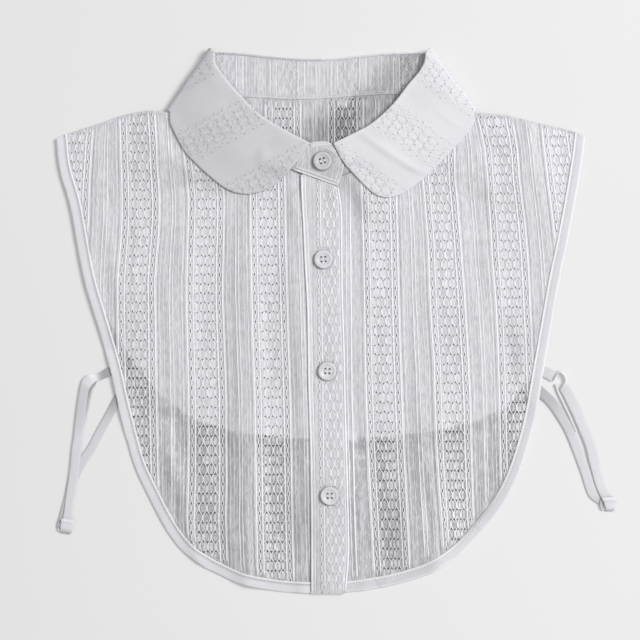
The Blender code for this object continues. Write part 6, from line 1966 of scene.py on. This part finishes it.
def ribbon(bag, table, thick=0.55, tone=1.0, per=9):
    """A flat woven tape given by its two edges: a closed strip with rounded selvedges."""
    rows = np.array(table, float)
    k = len(rows)
    knots = np.arange(k)
    u = np.linspace(0, k - 1, (k - 1) * per + 1)
    ext = np.vstack([2 * rows[0] - rows[1], rows, 2 * rows[-1] - rows[-2]])
    i = np.clip(u.astype(int), 0, k - 2)
    f = (u - i)[:, None]
    p0, p1, p2, p3 = ext[i], ext[i + 1], ext[i + 2], ext[i + 3]
    r = 0.5 * ((2 * p1) + (-p0 + p2) * f + (2 * p0 - 5 * p1 + 4 * p2 - p3) * f ** 2 + (-p0 + 3 * p1 - 3 * p2 + p3) * f ** 3)
    a = np.column_stack([(r[:, 0] - 320.5) * 0.61, (r[:, 1] - 48) * 0.61, r[:, 4]])
    b = np.column_stack([(r[:, 2] - 320.5) * 0.61, (r[:, 3] - 48) * 0.61, r[:, 5]])
    mid = (a + b) / 2
    run = np.gradient(mid, axis=0)
    run /= np.maximum(np.linalg.norm(run, axis=1), 1e-9)[:, None]
    cross = b - a
    wide = np.linalg.norm(cross, axis=1)
    cross = cross / np.maximum(wide, 1e-9)[:, None]
    up = np.cross(run, cross)
    up /= np.maximum(np.linalg.norm(up, axis=1), 1e-9)[:, None]
    up *= np.where(up[:1, 2:3] < 0, -1, 1)
    for j in range(1, len(up)):
        if up[j] @ up[j - 1] < 0:
            up[j] *= -1
    length = np.concatenate([[0], np.cumsum(np.linalg.norm(np.diff(mid, axis=0), axis=1))])
    ring, c = [], []
    h = thick / 2
    for x, y in ((0.0, 0.0), (0.015, 0.6), (0.07, 1.0), (0.30, 1.05), (0.5, 1.1), (0.70, 1.05), (0.93, 1.0), (0.985, 0.6), (1.0, 0.0),
                 (0.985, -0.6), (0.93, -1.0), (0.5, -1.0), (0.07, -1.0), (0.015, -0.6)):
        wav = 0.05 * noise1(length * 0.5 + x * 3, 2.0) if 0.05 < x < 0.95 else 0.0
        q = a + (b - a) * x + up * (y * h)[..., None] if isinstance(y, np.ndarray) else a + (b - a) * x + up * (y * h)
        q = q + np.array([0, 0, 1.0]) * np.asarray(wav)[..., None] if isinstance(wav, np.ndarray) else q
        q[:, 2] = np.maximum(q[:, 2] + h, 0.03)
        ring.append(q)
        edge_tone = 0.96 if x < 0.02 or x > 0.98 else 1.0
        c.append(np.column_stack([(x - 0.5) * wide, length, tone * edge_tone * r[:, 6]]))
    sections = np.stack(ring, axis=1)
    cl = np.stack(c, axis=1)
    if np.cross(cross[0], up[0]) @ run[0] > 0:
        sections, cl = sections[:, ::-1], cl[:, ::-1]
    sweep(bag, sections, cloth=cl.reshape(-1, 3))


def strap(name, table_set, eye):
    bag = Bag()
    for table in table_set:
        ribbon(bag, table)
    x0, y0, a, b, lean = eye
    turn = np.linspace(math.radians(-70), math.radians(250), 26)
    c, s = math.cos(math.radians(lean)), math.sin(math.radians(lean))
    q = np.column_stack([a * np.cos(turn), b * np.sin(turn)])
    q = np.column_stack([q[:, 0] * c - q[:, 1] * s, q[:, 0] * s + q[:, 1] * c]) + (x0, y0)
    q = (q - (320.5, 48.0)) * 0.61
    z = 1.35 - 0.45 * np.sin(turn)
    tube(bag, np.column_stack([q, z]), 0.36, 7, 1.5, np.column_stack([np.zeros(26), turn * 2, 0.98 + 0.1 * np.sin(turn)]))
    return bag.make(name, STRAP, 50)


strap_a = strap("strap_over_side_tape", STRAP_RUNS_OVER, STRAP_EYES[1])
strap_b = strap("strap_under_side_tape", STRAP_RUNS_UNDER, STRAP_EYES[0])

# ---------------------------------------------------------------- buttons
def button(name, across, down, turn, seat):
    r, h = BUTTON_DIAMETER / 2 - 0.05, BUTTON_THICK
    profile = [(0.0, h - 0.42), (r * 0.30, h - 0.42), (r * 0.54, h - 0.39), (r * 0.62, h - 0.30), (r * 0.66, h - 0.16),
               (r * 0.69, h - 0.08), (r * 0.73, h - 0.06), (r * 0.78, h - 0.08), (r * 0.86, h - 0.06), (r * 0.93, h - 0.10),
               (r * 0.97, h - 0.24), (r * 0.99, h - 0.42), (r, h - 0.75), (r * 0.985, h - 1.15), (r * 0.93, h - 1.6),
               (r * 0.8, 0.12), (r * 0.7, 0.0), (0.0, 0.0)]
    sides = 72
    bm = bmesh.new()
    rings = []
    for rad, z in profile:
        if rad == 0.0:
            rings.append([bm.verts.new(place([(across, down, seat + z)])[0])])
        else:
            rings.append([bm.verts.new(place([(across + rad * math.cos(2 * math.pi * k / sides),
                                               down + rad * math.sin(2 * math.pi * k / sides), seat + z)])[0])
                          for k in range(sides)])
    for a, b in zip(rings, rings[1:]):
        for k in range(sides):
            k2 = (k + 1) % sides
            if len(a) == 1:
                bm.faces.new((a[0], b[k], b[k2]))
            elif len(b) == 1:
                bm.faces.new((a[k], b[0], a[k2]))
            else:
                bm.faces.new((a[k], b[k], b[k2], a[k2]))
    bmesh.ops.recalc_face_normals(bm, faces=bm.faces)
    mesh = bpy.data.meshes.new(name)
    bm.to_mesh(mesh)
    bm.free()
    obj = bpy.data.objects.new(name, mesh)
    bpy.context.scene.collection.objects.link(obj)
    cutters = []
    c, s = math.cos(math.radians(turn)), math.sin(math.radians(turn))
    for ix in (-1, 1):
        for iy in (-1, 1):
            dx, dy = (ix * c - iy * s) * BUTTON_HOLE_PITCH / 2, (ix * s + iy * c) * BUTTON_HOLE_PITCH / 2
            x, y, z = place([(across + dx, down + dy, seat)])[0]
            bm = bmesh.new()
            bmesh.ops.create_cone(bm, cap_ends=True, segments=24, radius1=BUTTON_HOLE / 2000, radius2=BUTTON_HOLE / 2000, depth=0.008)
            cm = bpy.data.meshes.new("cutter")
            bm.to_mesh(cm)
            bm.free()
            cut = bpy.data.objects.new("cutter", cm)
            cut.location = (x, y, z + 0.001)
            bpy.context.scene.collection.objects.link(cut)
            cutters.append(cut)
            mod = obj.modifiers.new("hole", "BOOLEAN")
            mod.operation, mod.solver, mod.object = "DIFFERENCE", "EXACT", cut
    dg = bpy.context.evaluated_depsgraph_get()
    done = bpy.data.meshes.new_from_object(obj.evaluated_get(dg))
    obj.modifiers.clear()
    obj.data = done
    for cut in cutters:
        bpy.data.objects.remove(cut, do_unlink=True)
    done.materials.clear()
    done.materials.append(BUTTON)
    co = np.empty(len(done.vertices) * 3, np.float32)
    done.vertices.foreach_get("co", co)
    co = co.reshape(-1, 3) * 1000.0
    rad = np.hypot(co[:, 0] + MIDDLE_ACROSS - across, MIDDLE_DOWN - co[:, 1] - down) / r
    # painted shade: a dark rim at the edge, a thin dark ring at the raised circle, and the stand's button darker as it
    # lies in shade
    soft = np.where(rad > 0.962, -0.26, 0.0) - 0.08 * np.exp(-((rad - 0.65) / 0.05) ** 2)
    soft = soft - (0.17 if name.startswith("button_stand") else 0.0)
    done.attributes.new("dim", "FLOAT", "POINT").data.foreach_set("value", soft.astype(np.float32))
    done.shade_smooth()
    done.set_sharp_from_angle(angle=math.radians(38))
    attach(obj, "root")
    return obj


button_parts = []
bag = Bag()
seats = {}
for name, across, down, turn in BUTTONS:
    near = np.array([[across + dx, down + dy] for dx in (-5, 0, 5) for dy in (-5, 0, 5)])
    if name == "button_stand":
        seat = float((front_level(near) + CLOTH / 2 + PLACKET_LIFT + 0.1 + COLLAR_CLOTH / 2).max()) + GAP
    else:
        seat = float(placket_level(near).max()) + CLOTH + GAP
    own = float((tab_height(near) if name == "button_stand" else placket_top(near)).max()) + 0.12
    seat = min(seat, own)
    seats[name] = seat
    obj = button(name + "_turned", across, down, turn, seat)
    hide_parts(name)
    button_parts.append(obj)
    c, s = math.cos(math.radians(turn)), math.sin(math.radians(turn))
    face = seat + BUTTON_THICK - 0.42
    for side in (-1, 1):
        for strand in (-0.24, 0.0, 0.24):
            v = np.linspace(-1, 1, 13)
            iy = v * BUTTON_HOLE_PITCH / 2 * 0.86
            ix = np.full(13, side * BUTTON_HOLE_PITCH / 2 + strand) + 0.06 * np.sin(v * 2 + strand * 9)
            x = across + ix * c - iy * s
            y = down + ix * s + iy * c
            z = face + 0.14 + 0.10 * np.cos(v * math.pi / 2) - 1.5 * np.clip(np.abs(v) - 0.60, 0, 1) / 0.40
            tube(bag, np.column_stack([x, y, z]), 0.17, 6, 1.0, np.column_stack([np.zeros(13), v * 2, np.full(13, 0.95)]))
    # shank of thread between the button and the cloth
    for a in np.linspace(0, 2 * math.pi, 7)[:-1]:
        q = np.array([[across + 0.5 * math.cos(a), down + 0.5 * math.sin(a), seat + 0.3],
                      [across + 0.45 * math.cos(a + 0.4), down + 0.45 * math.sin(a + 0.4), seat - 0.25],
                      [across + 0.5 * math.cos(a + 0.8), down + 0.5 * math.sin(a + 0.8), seat - 0.65]])
        tube(bag, q, 0.2, 5, 1.0, np.column_stack([np.zeros(3), q[:, 2], np.ones(3)]))
button_threads = bag.make("button_threads", STITCH)

# buttonholes: two close rows of short stitches either side of a slit, with a bar at each end
bag = Bag()
for name, across, down, turn in BUTTONS[1:]:
    x0, y0 = across - 0.2, down - 0.6
    for i in range(34):
        y = y0 - 7.4 + i * 0.44
        for side in (-1, 1):
            x = np.array([0.16, 0.45, 0.85, 1.15]) * side + x0
            p = np.column_stack([x, np.full(4, y + 0.03 * math.sin(i * 1.9))])
            z = placket_top(p) + np.array([-0.05, 0.16, 0.16, -0.10])
            tube(bag, np.column_stack([p, z]), 0.17, 5, 0.9, np.column_stack([np.zeros(4), x, np.full(4, 0.95)]))
    for y in (y0 - 7.75, y0 + 7.75):
        for i in range(3):
            x = np.linspace(-1.0, 1.0, 5) + x0
            p = np.column_stack([x, np.full(5, y + (i - 1) * 0.3)])
            z = placket_top(p) + np.array([-0.1, 0.16, 0.2, 0.16, -0.1])
            tube(bag, np.column_stack([p, z]), 0.17, 5, 0.9, np.column_stack([np.zeros(5), x, np.full(5, 0.95)]))
buttonholes = bag.make("buttonholes", STITCH)

# ---------------------------------------------------------------- what stands for what
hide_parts("front_over")
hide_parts("front_under")
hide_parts("placket")
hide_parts("back_panel")
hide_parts("binding_front_over")
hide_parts("binding_front_under")
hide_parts("binding_back")
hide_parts("collar_stand")
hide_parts("collar_fall")
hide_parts("strap_over_side")
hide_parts("strap_under_side")

# ---------------------------------------------------------------- floor, light, camera
bm = bmesh.new()
bmesh.ops.create_grid(bm, x_segments=2, y_segments=2, size=3.0)
mesh = bpy.data.meshes.new("floor")
bm.to_mesh(mesh)
bm.free()
floor = bpy.data.objects.new("floor", mesh)
floor.location = (0, 0, -0.0004)
mesh.materials.append(floor_material())
bpy.context.scene.collection.objects.link(floor)

scene = bpy.context.scene
world = bpy.data.worlds.new("studio")
scene.world = world
world.use_nodes = True
world.node_tree.nodes["Background"].inputs[0].default_value = (1.0, 1.0, 1.0, 1.0)
world.node_tree.nodes["Background"].inputs[1].default_value = WORLD_LIGHT


def area(name, where, size, power, target=(0, 0, 0)):
    light = bpy.data.lights.new(name, "AREA")
    light.shape = "RECTANGLE"
    light.size, light.size_y = size
    light.energy = power
    obj = bpy.data.objects.new(name, light)
    obj.location = where
    d = mathutils.Vector(target) - mathutils.Vector(where)
    obj.rotation_mode = "QUATERNION"
    obj.rotation_quaternion = d.to_track_quat("-Z", "Y")
    scene.collection.objects.link(obj)
    return obj


area("key", KEY_AT, KEY_SIZE, KEY_POWER)
area("fill", FILL_AT, (1.6, 1.6), FILL_POWER)

camera = bpy.data.cameras.new("camera")
camera.lens = 110
camera.sensor_width = 36
cam = bpy.data.objects.new("camera", camera)
WIDE = 0.3904            # what the view takes in across, at the surface
cam.location = (-0.00816, 0.00078, WIDE * camera.lens / camera.sensor_width)
cam.rotation_euler = (0, 0, 0)
camera.clip_start, camera.clip_end = 0.05, 20
scene.collection.objects.link(cam)
scene.camera = cam
scene.view_settings.view_transform = "Standard"
scene.view_settings.look = "None"
